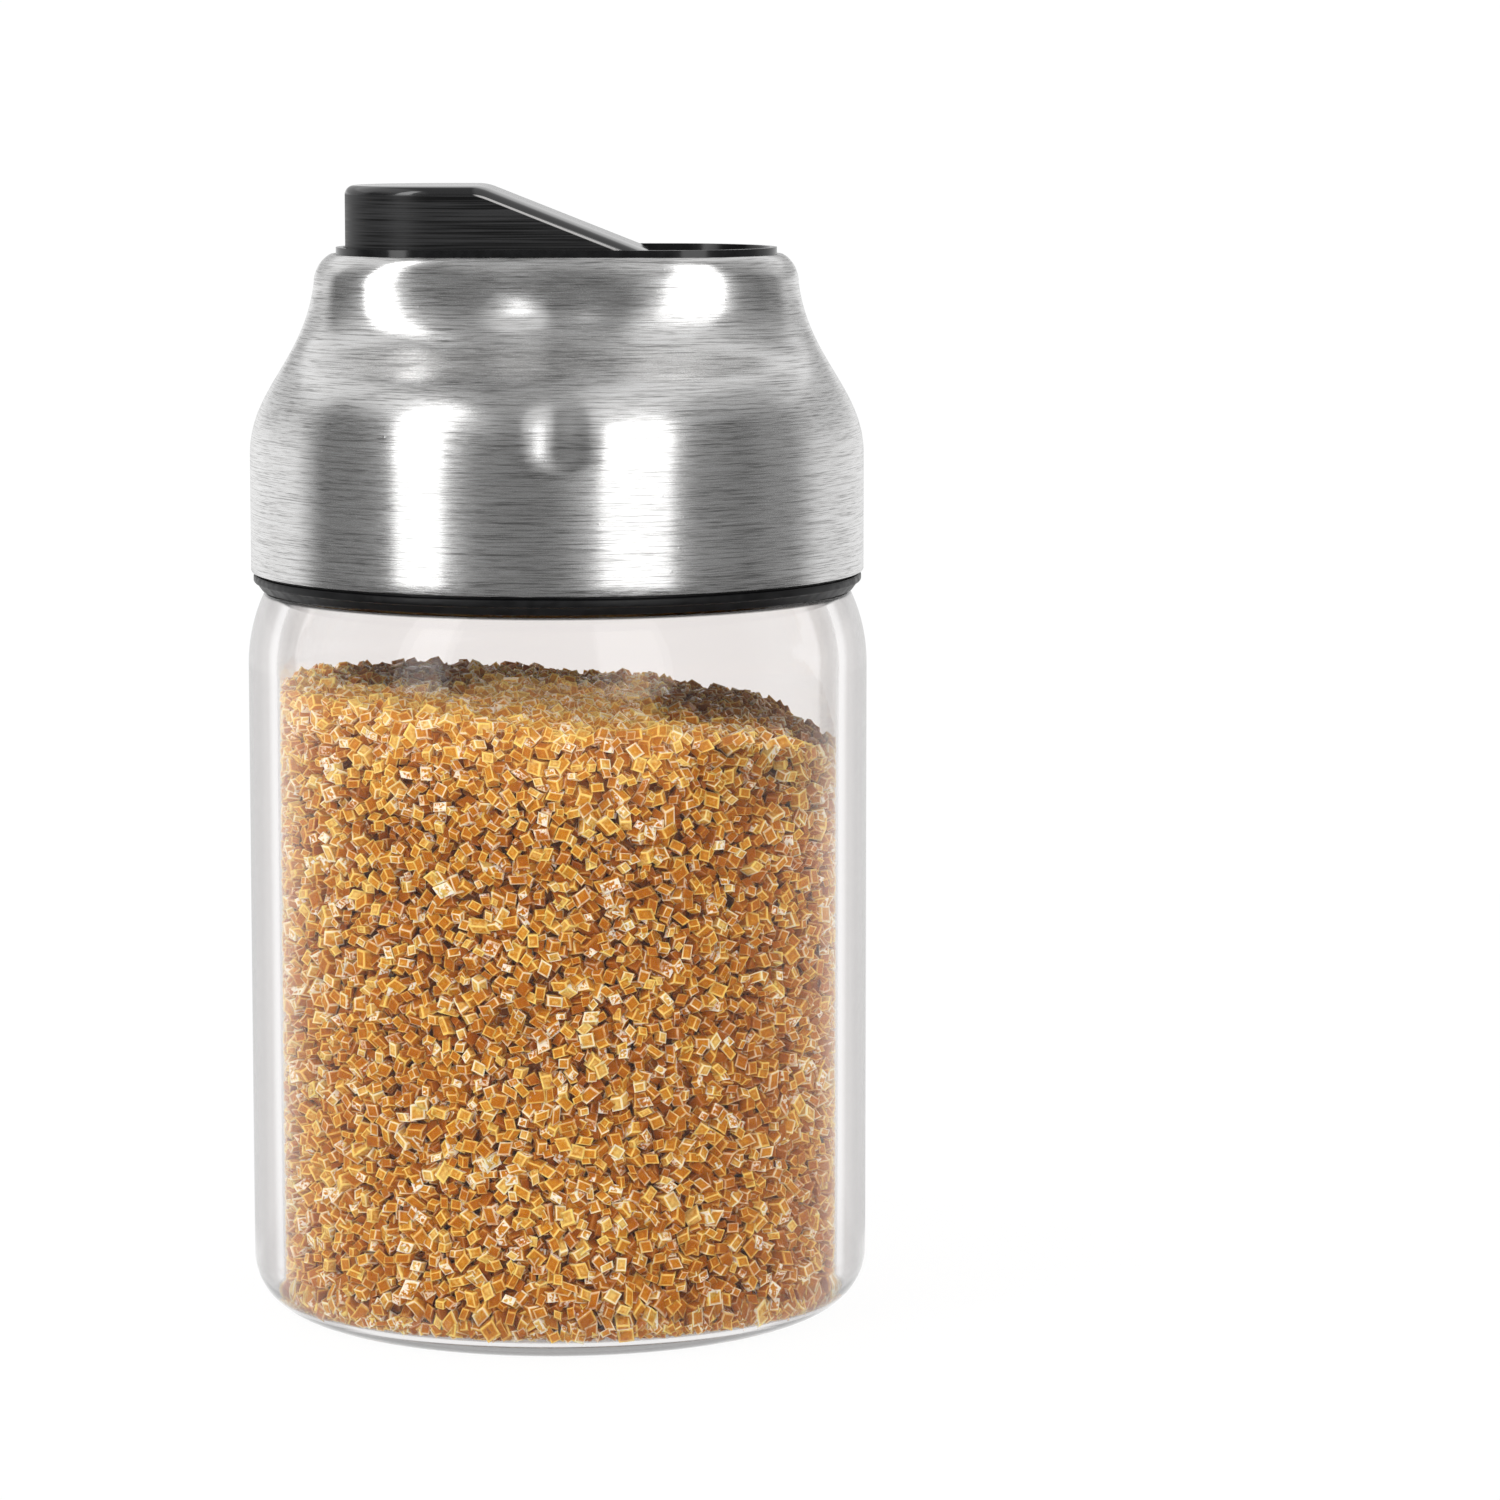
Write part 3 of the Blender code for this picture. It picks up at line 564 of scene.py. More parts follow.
def crystal_look():
    """Amber crystals, each with its own tone, painted highlights on its edges and painted shade set in from
    the edges of each face.

    A glow above 0 is a painted glow that lights a crystal a little, and one below 0 is painted shade that
    darkens it.
    """
    chosen = settings("sugar")
    made, tree, shader = look("brown_sugar")
    tone, light, glow = (attribute(tree, name) for name in ("tone_and_painted_shading", "painted_face_light", "painted_glow_and_shade"))
    across, along, _ = split(tree, attribute(tree, "face_place", "Vector"))
    sides = [maths(tree, "MINIMUM", part, maths(tree, "SUBTRACT", 1.0, part)) for part in (across, along)]
    inward = maths(tree, "MINIMUM", *sides)
    # Painted highlight: light rims along the edges of each face, paler on faces with more painted light.
    rim = ramp(tree, inward, [(0.0, 0.9), (0.05, 0.85), (0.16, 0.0)])
    # Painted shade: a darker band set in from the edges of each face, as light bent inside a clear crystal
    # would show.
    painted_window_shade = ramp(tree, inward, [(0.10, 0.0), (0.20, 1.0), (0.42, 0.55), (1.0, 0.5)])
    cloud = stretched(tree, (2300.0, 2300.0, 2300.0)).outputs["Fac"]
    # Painted light: each face gets a slope of light across it from its painted face light.
    slope = times(tree, across, light)
    parts = plus(tree, times(tree, cloud, 0.70), times(tree, slope, 0.35))
    shifted = maths(tree, "SUBTRACT", plus(tree, tone, parts), 0.50, clamp=True)
    tones = [(0.02, chosen.dark), (0.40, chosen.amber), (0.75, chosen.straw), (1.0, chosen.rim)]
    body = ramp(tree, shifted, tones, eased=False)
    darker = mix_colour(tree, 0.6, body, chosen.dark)
    inside = mix_colour(tree, times(tree, painted_window_shade, 0.72), body, darker)
    painted_edge_share = times(tree, rim, ramp(tree, shifted, [(0.05, 0.10), (0.40, 0.55), (0.8, 1.0)]))
    pale = ramp(tree, light, [(0.50, 0.0), (0.70, 0.9)])
    painted_rim_highlight = mix_colour(tree, pale, chosen.rim, (1.0, 0.92, 0.70))
    with_painted_edges = mix_colour(tree, painted_edge_share, inside, painted_rim_highlight)
    # Painted glints: near-white patches on a few light faces stand in for mirrored lamps.
    painted_glint_face = ramp(tree, light, [(0.87, 0.0), (0.89, 1.0)])
    painted_glint_patch = ramp(tree, cloud, [(0.50, 0.0), (0.56, 1.0)])
    light_tones = ramp(tree, shifted, [(0.3, 0.0), (0.6, 0.9)])
    painted_glint = times(tree, times(tree, painted_glint_face, painted_glint_patch), light_tones)
    final = mix_colour(tree, painted_glint, with_painted_edges, (1.0, 0.90, 0.76))
    # Painted shade darkens crystals with a glow below 0; a painted glow in pale amber lights those above 0.
    painted_shade_factor = plus(tree, glow, 1.0, clamp=True)
    join(tree, multiply_colour(tree, final, painted_shade_factor), shader.inputs["Base Color"])
    join(tree, mix_colour(tree, 0.65, final, (0.90, 0.60, 0.27)), shader.inputs["Emission Color"])
    join(tree, maths(tree, "MAXIMUM", glow, 0.0), shader.inputs["Emission Strength"])
    shader.inputs["Roughness"].default_value = 0.16
    shader.inputs["Specular IOR Level"].default_value = 0.04
    shader.inputs["Subsurface Weight"].default_value = 0.35
    shader.inputs["Subsurface Radius"].default_value = (1.0, 0.55, 0.20)
    shader.inputs["Subsurface Scale"].default_value = 0.0010
    bump(tree, ramp(tree, inward, [(0.0, 0.0), (0.14, 1.0)]), 0.6, 0.00012, shader)
    return made


def bed_look():
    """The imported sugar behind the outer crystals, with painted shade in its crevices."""
    chosen = settings("sugar")
    made, tree, shader = look("packed_sugar")
    cells = stretched(tree, EVEN, "ShaderNodeTexVoronoi", size=950.0)
    chance, _, _ = split(tree, cells.outputs["Color"])
    body = ramp(tree, chance, [(0.0, chosen.dark), (1.0, chosen.amber)])
    # Painted shade: the colour darkens towards the crevices between the cells.
    painted_crevice_shade = ramp(tree, cells.outputs["Distance"], [(0.0, 1.0), (0.5, 0.8), (1.0, 0.6)])
    join(tree, multiply_colour(tree, body, painted_crevice_shade), shader.inputs["Base Color"])
    shader.inputs["Roughness"].default_value = 0.5
    bump(tree, cells.outputs["Distance"], 0.8, 0.0006, shader)
    return made


def steel_look():
    """Brushed steel: fine level lines in its tone, roughness and height, and small bright specks."""
    chosen = settings("steel")
    made, tree, shader = look("brushed_steel")
    shader.inputs["Metallic"].default_value = 1.0
    shader.inputs["Anisotropic"].default_value = 0.85
    shader.inputs["Anisotropic Rotation"].default_value = 0.25
    tangent = add(tree, "ShaderNodeTangent", direction_type="RADIAL", axis="Z")
    join(tree, tangent.outputs["Tangent"], shader.inputs["Tangent"])
    long_lines = stretched(tree, (110.0, 110.0, 6800.0)).outputs["Fac"]
    short_lines = stretched(tree, (420.0, 420.0, 11000.0), detail=3.0).outputs["Fac"]
    lines = plus(tree, times(tree, long_lines, 0.55), times(tree, short_lines, 0.45))
    stops = ((0.36, 0.44), (0.5, 0.96), (0.64, 1.15))
    tones = [(place, scaled(chosen.colour, factor)) for place, factor in stops]
    join(tree, ramp(tree, lines, tones, eased=False), shader.inputs["Base Color"])
    rough = ramp(tree, short_lines, [(0.3, chosen.roughness * 0.82), (0.7, chosen.roughness * 1.2)])
    join(tree, rough, shader.inputs["Roughness"])
    specks = stretched(tree, EVEN, "ShaderNodeTexVoronoi", size=420.0)
    dots = ramp(tree, specks.outputs["Distance"], [(0.0, 1.0), (0.10, 0.0)])
    bump(tree, plus(tree, lines, times(tree, dots, 0.8)), 0.16 * chosen.brush, 0.00006, shader)
    return made


def plastic_look(roughness=0.13, specular=0.5):
    """Black plastic with faint moulding marks."""
    chosen = settings("black")
    made, tree, shader = look("black_plastic")
    grain = stretched(tree, EVEN, size=700.0, detail=4.0).outputs["Fac"]
    tone = ramp(tree, grain, [(0.3, scaled(chosen.plastic, 0.75)), (0.7, scaled(chosen.plastic, 1.4))])
    join(tree, tone, shader.inputs["Base Color"])
    rough = ramp(tree, grain, [(0.3, 0.8 * roughness), (0.7, 1.3 * roughness)])
    join(tree, rough, shader.inputs["Roughness"])
    shader.inputs["Specular IOR Level"].default_value = specular
    bump(tree, grain, 0.08, 0.00005, shader)
    return made


def satin_look():
    """The flap's black plastic: brush lines on its sides, smooth on top, a painted highlight along the
    slope's top edge, a matt back.
    """
    chosen = settings("black")
    made, tree, shader = look("flap_black")
    lines = stretched(tree, (60.0, 60.0, 5500.0)).outputs["Fac"]
    tone = ramp(tree, lines, [(0.35, scaled(chosen.satin, 0.2)), (0.68, scaled(chosen.satin, 2.2))])
    sideways, _, upward = split(tree, coordinates(tree, "Normal"))
    level = ramp(tree, upward, [(0.03, 0.0), (0.30, 1.0)])
    # Painted highlight: a light line along the top edge of the slope.
    edge = ramp(tree, upward, [(0.05, 0.0), (0.10, 1.0), (0.22, 1.0), (0.30, 0.0)])
    on_slope = ramp(tree, sideways, [(0.012, 0.0), (0.035, 1.0)])
    painted_edge_line = times(tree, times(tree, edge, on_slope), 0.8)
    deep = mix_colour(tree, level, tone, chosen.plastic)
    join(tree, mix_colour(tree, painted_edge_line, deep, (0.50, 0.49, 0.48)), shader.inputs["Base Color"])
    rough = ramp(tree, lines, [(0.3, 0.34), (0.7, 0.46)])
    join(tree, mix_colour(tree, level, rough, (0.07, 0.07, 0.07)), shader.inputs["Roughness"])
    _, depth, _ = split(tree, coordinates(tree))
    behind = times(tree, plus(tree, depth, 0.010), OVER_20_MM)
    back = ramp(tree, behind, [(0.36, 0.0), (0.52, 1.0)])
    shine = mix_colour(tree, level, (0.24, 0.24, 0.24), (1.0, 1.0, 1.0))
    dulled = mix_colour(tree, times(tree, back, level), shine, (0.02, 0.02, 0.02))
    join(tree, dulled, shader.inputs["Specular IOR Level"])
    bump(tree, times(tree, lines, maths(tree, "SUBTRACT", 1.0, level)), 0.18, 0.00005, shader)
    return made


def silicone_look():
    """Milky soft silicone."""
    made, tree, shader = look("silicone")
    cloud = stretched(tree, EVEN, size=300.0, detail=3.0).outputs["Fac"]
    tone = ramp(tree, cloud, [(0.3, (0.70, 0.70, 0.68)), (0.7, (0.80, 0.80, 0.78))])
    join(tree, tone, shader.inputs["Base Color"])
    shader.inputs["Roughness"].default_value = 0.5
    shader.inputs["Subsurface Weight"].default_value = 0.3
    shader.inputs["Subsurface Scale"].default_value = 0.001
    return made


def pin_look():
    """Turned steel of the hinge pin."""
    made, tree, shader = look("pin_steel")
    rings = stretched(tree, (300.0, 6000.0, 300.0)).outputs["Fac"]
    tone = ramp(tree, rings, [(0.3, (0.50, 0.50, 0.50)), (0.7, (0.68, 0.68, 0.67))])
    join(tree, tone, shader.inputs["Base Color"])
    shader.inputs["Metallic"].default_value = 1.0
    shader.inputs["Roughness"].default_value = 0.22
    return made


def ridge(turn, z, start, lead, half):
    """Height share of the thread's ridge at an angle and a height."""
    best = 0.0
    for whole in range(-1, int(THREAD_TURNS) + 2):
        progress = turn / math.tau + whole
        if progress < 0.0 or progress > THREAD_TURNS:
            continue
        offset = abs(z - (start + lead * progress))
        if offset >= half:
            continue
        fade = smooth_step(0.0, THREAD_FADE, min(progress, THREAD_TURNS - progress))
        best = max(best, fade * math.cos(QUARTER * offset / half) ** 0.8)
    return best


class OBJECT_OT_dispenser_glass(bpy.types.Operator):
    """Build the glass jar with its fine threaded neck"""

    bl_idname = "dispenser.glass"
    bl_label = "Glass jar"

    def execute(self, context):
        glass = settings("glass")
        inner = glass.radius - glass.wall
        neck = glass.radius - glass.neck_step
        bore = neck - glass.neck_wall
        round_z = glass.rim - glass.rim_round
        corner = glass.floor_corner
        curve, turn = glass.shoulder_curve, glass.shoulder_turn
        inner_drop, inner_overturn, inner_rise = 0.0005, 0.05, 0.0017
        inner_curve, inner_start = 0.90 * curve, glass.shoulder_start - inner_drop
        edge_end, root_lean = math.radians(80), math.radians(4)
        floor_crown = ((0.0, 0.0004), (0.3, 0.0003), (0.6, 0.0001))

        profile = [(inner * out, glass.floor + crown) for out, crown in floor_crown]
        profile += arc(inner - corner, glass.floor + corner, corner, -QUARTER, 0, 14)
        profile += straight(profile[-1], (inner, inner_start), 4)
        profile += arc(inner - inner_curve, inner_start, inner_curve, 0.0, turn + inner_overturn, 20)
        profile += straight(profile[-1], (bore, profile[-1][1] + inner_rise), 3)
        profile += arc(bore + glass.rim_round, round_z, glass.rim_round, math.pi, QUARTER, 6)
        profile += arc(neck - glass.rim_round, round_z, glass.rim_round, QUARTER, 0.0, 6)
        outside = arc(glass.radius - curve, glass.shoulder_start, curve, 0.0, turn, 20)
        edge_x = outside[-1][0] - glass.shoulder_edge * math.cos(turn)
        edge_z = outside[-1][1] - glass.shoulder_edge * math.sin(turn)
        outside += arc(edge_x, edge_z, glass.shoulder_edge, turn, edge_end, 8)[1:]
        root = outside[-1][1] + (outside[-1][0] - neck) * math.tan(root_lean)
        profile += straight((neck, round_z), (neck, root), 48)
        profile += reversed(outside)
        base_x = glass.radius - glass.base_corner
        profile += straight(profile[-1], (glass.radius, glass.base_corner), 4)
        profile += arc(base_x, glass.base_corner, glass.base_corner, 0.0, -QUARTER, 18)

        foot_width, pushup_run, pushup_steps = 0.0012, 0.0035, 8
        foot = base_x - foot_width
        for step in range(pushup_steps + 1):
            part = step / pushup_steps
            profile.append((foot - pushup_run * part, glass.pushup * smooth_step(0.0, 1.0, part)))
        profile += [(foot * 0.5, glass.pushup * 1.25), (0.0, glass.pushup * 1.3)]
        thread_low = glass.rim - glass.thread_start - glass.thread_half - glass.thread_lead * THREAD_TURNS

        def threaded(turn, r, z):
            if abs(r - neck) > 1e-6 or z > round_z:
                return r
            return r + glass.thread_height * ridge(turn, z, thread_low, glass.thread_lead, glass.thread_half)

        jar = lathe("glass_body", profile, glass_look(), reshape=threaded)
        dress(jar, "jar", "clear_glass", "glass_jar")
        return {"FINISHED"}


# Height and fineness of the lumps on the heap, and where its right edge sinks.
LUMP_HEIGHT = 0.0006
LUMP_FINENESS = 210.0
SLUMP = (0.0245, 0.0335)


def sugar_top(x, y, radius):
    """Height of the heap at a place."""
    sugar = settings("sugar")
    share_out = min(1.0, math.hypot(x, y) / radius)
    height = sugar.height - sugar.tilt * x / radius + sugar.mound * (1 - share_out * share_out)
    height -= sugar.slump * smooth_step(*SLUMP, x)
    return height + noise.noise(Vector((x * LUMP_FINENESS, y * LUMP_FINENESS, 3.7))) * LUMP_HEIGHT


# The shaded places on the far side of the heap: strength, where each starts and ends from left to right,
# and where it sets in from front to back.
SHADED = (
    (1.0, (-0.031, -0.027), (-0.016, -0.008), (-0.012, 0.012)),
    (0.7, (-0.016, -0.008), (0.004, 0.010), (0.008, 0.024)),
    (1.0, (0.010, 0.018), (0.050, 0.060), (-0.026, -0.004)),
)


def heap_shade(x, y):
    """How shaded the heap is at a place."""
    return max(
        strength * smooth_step(*start, x) * (1 - smooth_step(*end, x)) * smooth_step(*depth, y)
        for strength, start, end, depth in SHADED
    )


CRYSTAL_CORNERS = np.array([(x, y, z) for z in (-1, 1) for x, y in SQUARE], float)
CRYSTAL_FACES = np.array(
    [(0, 3, 2, 1), (4, 5, 6, 7), (0, 1, 5, 4), (1, 2, 6, 5), (2, 3, 7, 6), (3, 0, 4, 7)], int
)
FACE_CORNERS = np.array([(0, 0, 0), (1, 0, 0), (1, 1, 0), (0, 1, 0)], float)
# The shortest and the longest side that a crystal may have, and how far it may be slanted.
CRYSTAL_SIDES = (0.0005, 0.0024)
MOST_LEAN = 0.28


def random_turns(rng, count, spread):
    """Rotation matrices: a spin about the outward axis and a random tilt of at most the spread."""
    spin = rng.uniform(0, math.tau, count)
    tilt = rng.uniform(0.0, 1.0, count) ** 0.8 * spread
    way = rng.uniform(0, math.tau, count)
    matrices = np.zeros((count, 3, 3))
    for i in range(count):
        turned = Matrix.Rotation(tilt[i], 3, Vector((math.cos(way[i]), math.sin(way[i]), 0.0)))
        matrices[i] = np.array(turned @ Matrix.Rotation(spin[i], 3, "Z"))
    return matrices


def frames_on(normals):
    """A frame on each normal: a side, a rise and the normal itself."""
    up = np.tile(np.array([0.0, 0.0, 1.0]), (len(normals), 1))
    up[np.abs(normals[:, 2]) > 0.9] = (1.0, 0.0, 0.0)
    side = np.cross(up, normals)
    side /= np.linalg.norm(side, axis=1)[:, None]
    return np.stack([side, np.cross(normals, side), normals], axis=2)


def note_values(mesh, name, values, kind="FLOAT", domain="FACE"):
    """Note values on the faces or corners of a mesh for its material."""
    noted = mesh.attributes.new(name, kind, domain)
    key = "value" if kind == "FLOAT" else "vector"
    noted.data.foreach_set(key, values.astype(np.float32).ravel())


def grow_crystals(name, plan, spread, rng, keep_inside):
    """Build a mesh of slanted boxes, each lying on its normal, pushed in to stay inside.

    A row of the plan holds a place, a normal, a size, a painted shift of the tone and a glow, which are
    painted light and shade.
    """
    sugar = settings("sugar")
    places, normals, scale, painted_shift, glow = (np.array(column) for column in zip(*plan))
    count = len(plan)
    means = ((sugar.crystal_long, 0.16), (sugar.crystal_wide, 0.16), (sugar.crystal_thick, 0.18))
    sizes = np.stack([rng.normal(mean, mean * part, count) for mean, part in means], axis=1)
    sizes = np.clip(sizes, *CRYSTAL_SIDES) * (scale * rng.uniform(0.62, 1.12, count))[:, None] / 2
    corners = np.repeat(CRYSTAL_CORNERS[None], count, axis=0)
    taper = rng.uniform(0.72, 1.0, (count, 2))
    upper = corners[:, :, 2] > 0
    for axis in (0, 1):
        corners[:, :, axis] *= np.where(upper, taper[:, axis][:, None], 1.0)
    lean = rng.uniform(-MOST_LEAN, MOST_LEAN, (count, 2))
    for axis in (0, 1):
        corners[:, :, axis] += corners[:, :, axis + 1] * lean[:, axis][:, None]
    corners *= sizes[:, None, :]
    corners = np.einsum("nij,nkj->nki", random_turns(rng, count, spread), corners)
    corners = np.einsum("nij,nkj->nki", frames_on(normals), corners)
    points = keep_inside(corners + places[:, None, :])
    faces = (CRYSTAL_FACES[None] + (np.arange(count) * 8)[:, None, None]).reshape(-1, 4)
    mesh = bpy.data.meshes.new(name)
    mesh.from_pydata(points.reshape(-1, 3).tolist(), [], faces.tolist())
    mesh.update()
    note_values(mesh, "tone_and_painted_shading", np.repeat(np.clip(rng.beta(2.3, 2.0, count) + painted_shift, 0.0, 1.0), 6))
    note_values(mesh, "painted_glow_and_shade", np.repeat(glow, 6))
    note_values(mesh, "painted_face_light", rng.uniform(0.0, 1.0, count * 6))
    note_values(mesh, "face_place", np.tile(FACE_CORNERS, (count * 6, 1)), "FLOAT_VECTOR", "CORNER")
    mesh.shade_flat()
    return mesh


# The crystal layers at the wall: name, depth, painted shift of the tone (painted shade that darkens the
# deeper layers between the crystals), distance as a share of the row step, tilt.
WALL_LAYERS = (
    ("sugar_outer_crystals", 0.0003, 0.17, 1.28, 40),
    ("sugar_second_crystals", 0.0013, -0.14, 1.06, 60),
    ("sugar_deep_crystals", 0.0023, -0.42, 1.10, 60),
)
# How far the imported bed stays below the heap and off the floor, and the rings of its top.
BED_INSET = 0.0028
BED_LIFT = 0.0010
BED_RINGS = (0.0, 0.2, 0.4, 0.6, 0.75, 0.88, 0.96, 1.0)


class OBJECT_OT_dispenser_sugar(bpy.types.Operator):
    """Fill the jar with a bed of packed sugar and a skin of single crystals"""

    bl_idname = "dispenser.sugar"
    bl_label = "Sugar"

    def execute(self, context):
        self.sugar, glass = settings("sugar"), settings("glass")
        self.rng = np.random.default_rng(self.sugar.seed)
        self.radius = glass.radius - glass.wall - GAP
        self.corner = glass.floor_corner - GAP
        self.floor = glass.floor + GAP
        self.plan = []
        self.finish = crystal_look()
        self.make_bed()
        for layer, (name, sunk, painted_shift, apart, tilt) in enumerate(WALL_LAYERS):
            self.plant_wall(layer, self.radius - sunk, painted_shift, self.sugar.row_step * apart)
            if layer == len(WALL_LAYERS) - 1:
                self.plant_corner()
            self.grow(name, tilt)
        self.plant_top()
        self.plant_floor()
        self.grow("sugar_end_crystals", 75)
        return {"FINISHED"}

    def make_bed(self):
        """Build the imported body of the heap, which shows between the crystals."""
        reach = self.radius - BED_INSET
        low = self.floor + BED_LIFT

        def heap(x, y):
            return sugar_top(x, y, self.radius) - BED_INSET

        profile = [(reach * out, heap) for out in BED_RINGS]
        profile += reversed(arc(reach - self.corner, low + self.corner, self.corner, -QUARTER, 0, 8))
        profile.append((0.0, low))
        bed = lathe("sugar_bed", profile, bed_look(), steps=120)
        dress(bed, "jar", "brown_sugar", "sugar_fill")

    def jitter(self, reach=0.45):
        """A random shift to either side."""
        return self.rng.uniform(-reach, reach)

    def keep_inside(self, points):
        """Push crystals back that stand out at the wall or the floor."""
        reach = np.hypot(points[:, :, 0], points[:, :, 1]).max(axis=1)
        over = np.maximum(0.0, reach - self.radius)
        centre = points.mean(axis=1)
        outward = centre[:, :2] / np.maximum(1e-9, np.hypot(centre[:, 0], centre[:, 1]))[:, None]
        for axis in (0, 1):
            points[:, :, axis] -= (over * outward[:, axis])[:, None]
        low = points[:, :, 2].min(axis=1)
        points[:, :, 2] += np.maximum(0.0, self.floor - low)[:, None]
        return points

    def grow(self, name, tilt):
        """Make the planted crystals and forget them."""
        mesh = grow_crystals(name, self.plan, math.radians(tilt), self.rng, self.keep_inside)
        dress(add_object(name, mesh, self.finish), "jar", "brown_sugar", "sugar_fill")
        self.plan.clear()

    def plant_wall(self, layer, ring_radius, painted_shift, gap):
        """Plant one layer of crystals along the wall, with painted light and a painted glow near the top, and
        painted shade towards the right.
        """
        sugar, start = self.sugar, self.floor + self.corner
        depth, least_depth = 0.0006, 0.0002
        around = int(math.tau * ring_radius / gap)
        for row in range(int((sugar.height + 2 * sugar.tilt - start) / gap) + 2):
            for i in range(around):
                turn = math.tau * (i + 0.5 * (row % 2)) / around + self.jitter() * gap / ring_radius
                height = start + (row + 0.5 * layer) * gap + self.jitter() * gap
                r = ring_radius - self.rng.uniform(0.0, 1.0) ** 1.3 * depth
                x, y = r * math.cos(turn), r * math.sin(turn)
                below = sugar_top(x, y, self.radius) - height
                if below < least_depth:
                    continue
                low_share = 1.0 - (height - self.floor) / sugar.height
                near_top = 1.0 - smooth_step(0.0, 0.014, below)
                # Painted light and a painted glow near the top; painted shade towards the right, where the
                # glow turns below 0.
                painted_top_light = (0.10 + 0.10 * layer) * near_top
                darker = 0.13 * smooth_step(0.006, 0.026, x)
                glow = near_top * (0.10 - 0.40 * smooth_step(0.014, 0.024, x))
                outward, size = (math.cos(turn), math.sin(turn), 0.0), 0.98 + 0.14 * low_share
                self.plan.append(((x, y, height), outward, size, painted_shift + painted_top_light - darker, glow))

    def plant_corner(self):
        """Plant crystals around the corner between wall and floor."""
        corner, sunk = self.corner, 0.0005
        rows = max(2, round(corner * QUARTER / self.sugar.row_step))
        for row in range(rows):
            lean = QUARTER * (row + 0.5) / rows
            r = self.radius - corner + (corner - sunk) * math.cos(lean)
            height = self.floor + corner - (corner - sunk) * math.sin(lean)
            around = int(math.tau * r / (self.sugar.row_step * 0.9))
            for i in range(around):
                turn = math.tau * (i + self.jitter(0.4)) / around
                outward = (math.cos(turn) * math.cos(lean), math.sin(turn) * math.cos(lean), -math.sin(lean))
                self.plan.append(((r * math.cos(turn), r * math.sin(turn), height), outward, 0.95, 0.0, 0.0))

    def plant_top(self):
        """Plant crystals over the heap, with painted light and a painted glow on top, and painted shade in
        its shaded places.
        """
        wall_gap, sunk, scatter = 0.0004, 0.0003, 0.001
        step, reach = self.sugar.row_step, self.radius - wall_gap
        gap = step * 0.85
        rows = int(2 * reach / gap)
        for row in range(rows + 1):
            for column in range(rows + 1):
                x = -reach + (column + 0.5 * (row % 2)) * gap + self.jitter() * step
                y = -reach + row * gap + self.jitter() * step
                if math.hypot(x, y) > reach:
                    continue
                shade = heap_shade(x, y)
                height = sugar_top(x, y, self.radius) - sunk + self.rng.uniform(-0.4, 0.7) * scatter
                # Painted light and glow on the heap's top, turning to painted shade where it is shaded.
                painted_shift, glow = 0.20 - 0.35 * shade, 0.15 - 0.70 * shade
                self.plan.append(((x, y, height), (0.0, 0.0, 1.0), 1.0, painted_shift, glow))

    def plant_floor(self):
        """Plant crystals on the glass floor."""
        reach, gap, raised = self.radius - self.corner, self.sugar.row_step * 1.25, 0.0005
        rows = int(2 * reach / gap)
        for row in range(rows + 1):
            for column in range(rows + 1):
                x = -reach + column * gap + self.jitter() * gap
                y = -reach + row * gap + self.jitter() * gap
                if math.hypot(x, y) <= reach:
                    self.plan.append(((x, y, self.floor + raised), (0.0, 0.0, -1.0), 1.2, 0.0, 0.0))


class OBJECT_OT_dispenser_gasket(bpy.types.Operator):
    """Build the soft ring on the glass rim"""

    bl_idname = "dispenser.gasket"
    bl_label = "Soft ring"

    def execute(self, context):
        width, soft = 0.0034, 0.0004
        low, high = GASKET_LOW.z + soft, GASKET_HIGH.z - soft
        outer = GASKET_HIGH.x - soft
        inner = GASKET_HIGH.x - width + soft
        profile = []
        for x, z, start in ((outer, high, 1), (outer, low, 0), (inner, low, -1), (inner, high, -2)):
            profile += arc(x, z, soft, start * QUARTER, (start - 1) * QUARTER, 4)
        ring = lathe("soft_ring", profile, silicone_look(), closed=True)
        dress(ring, "seal_ring", "silicone", "jar_gasket")
        return {"FINISHED"}


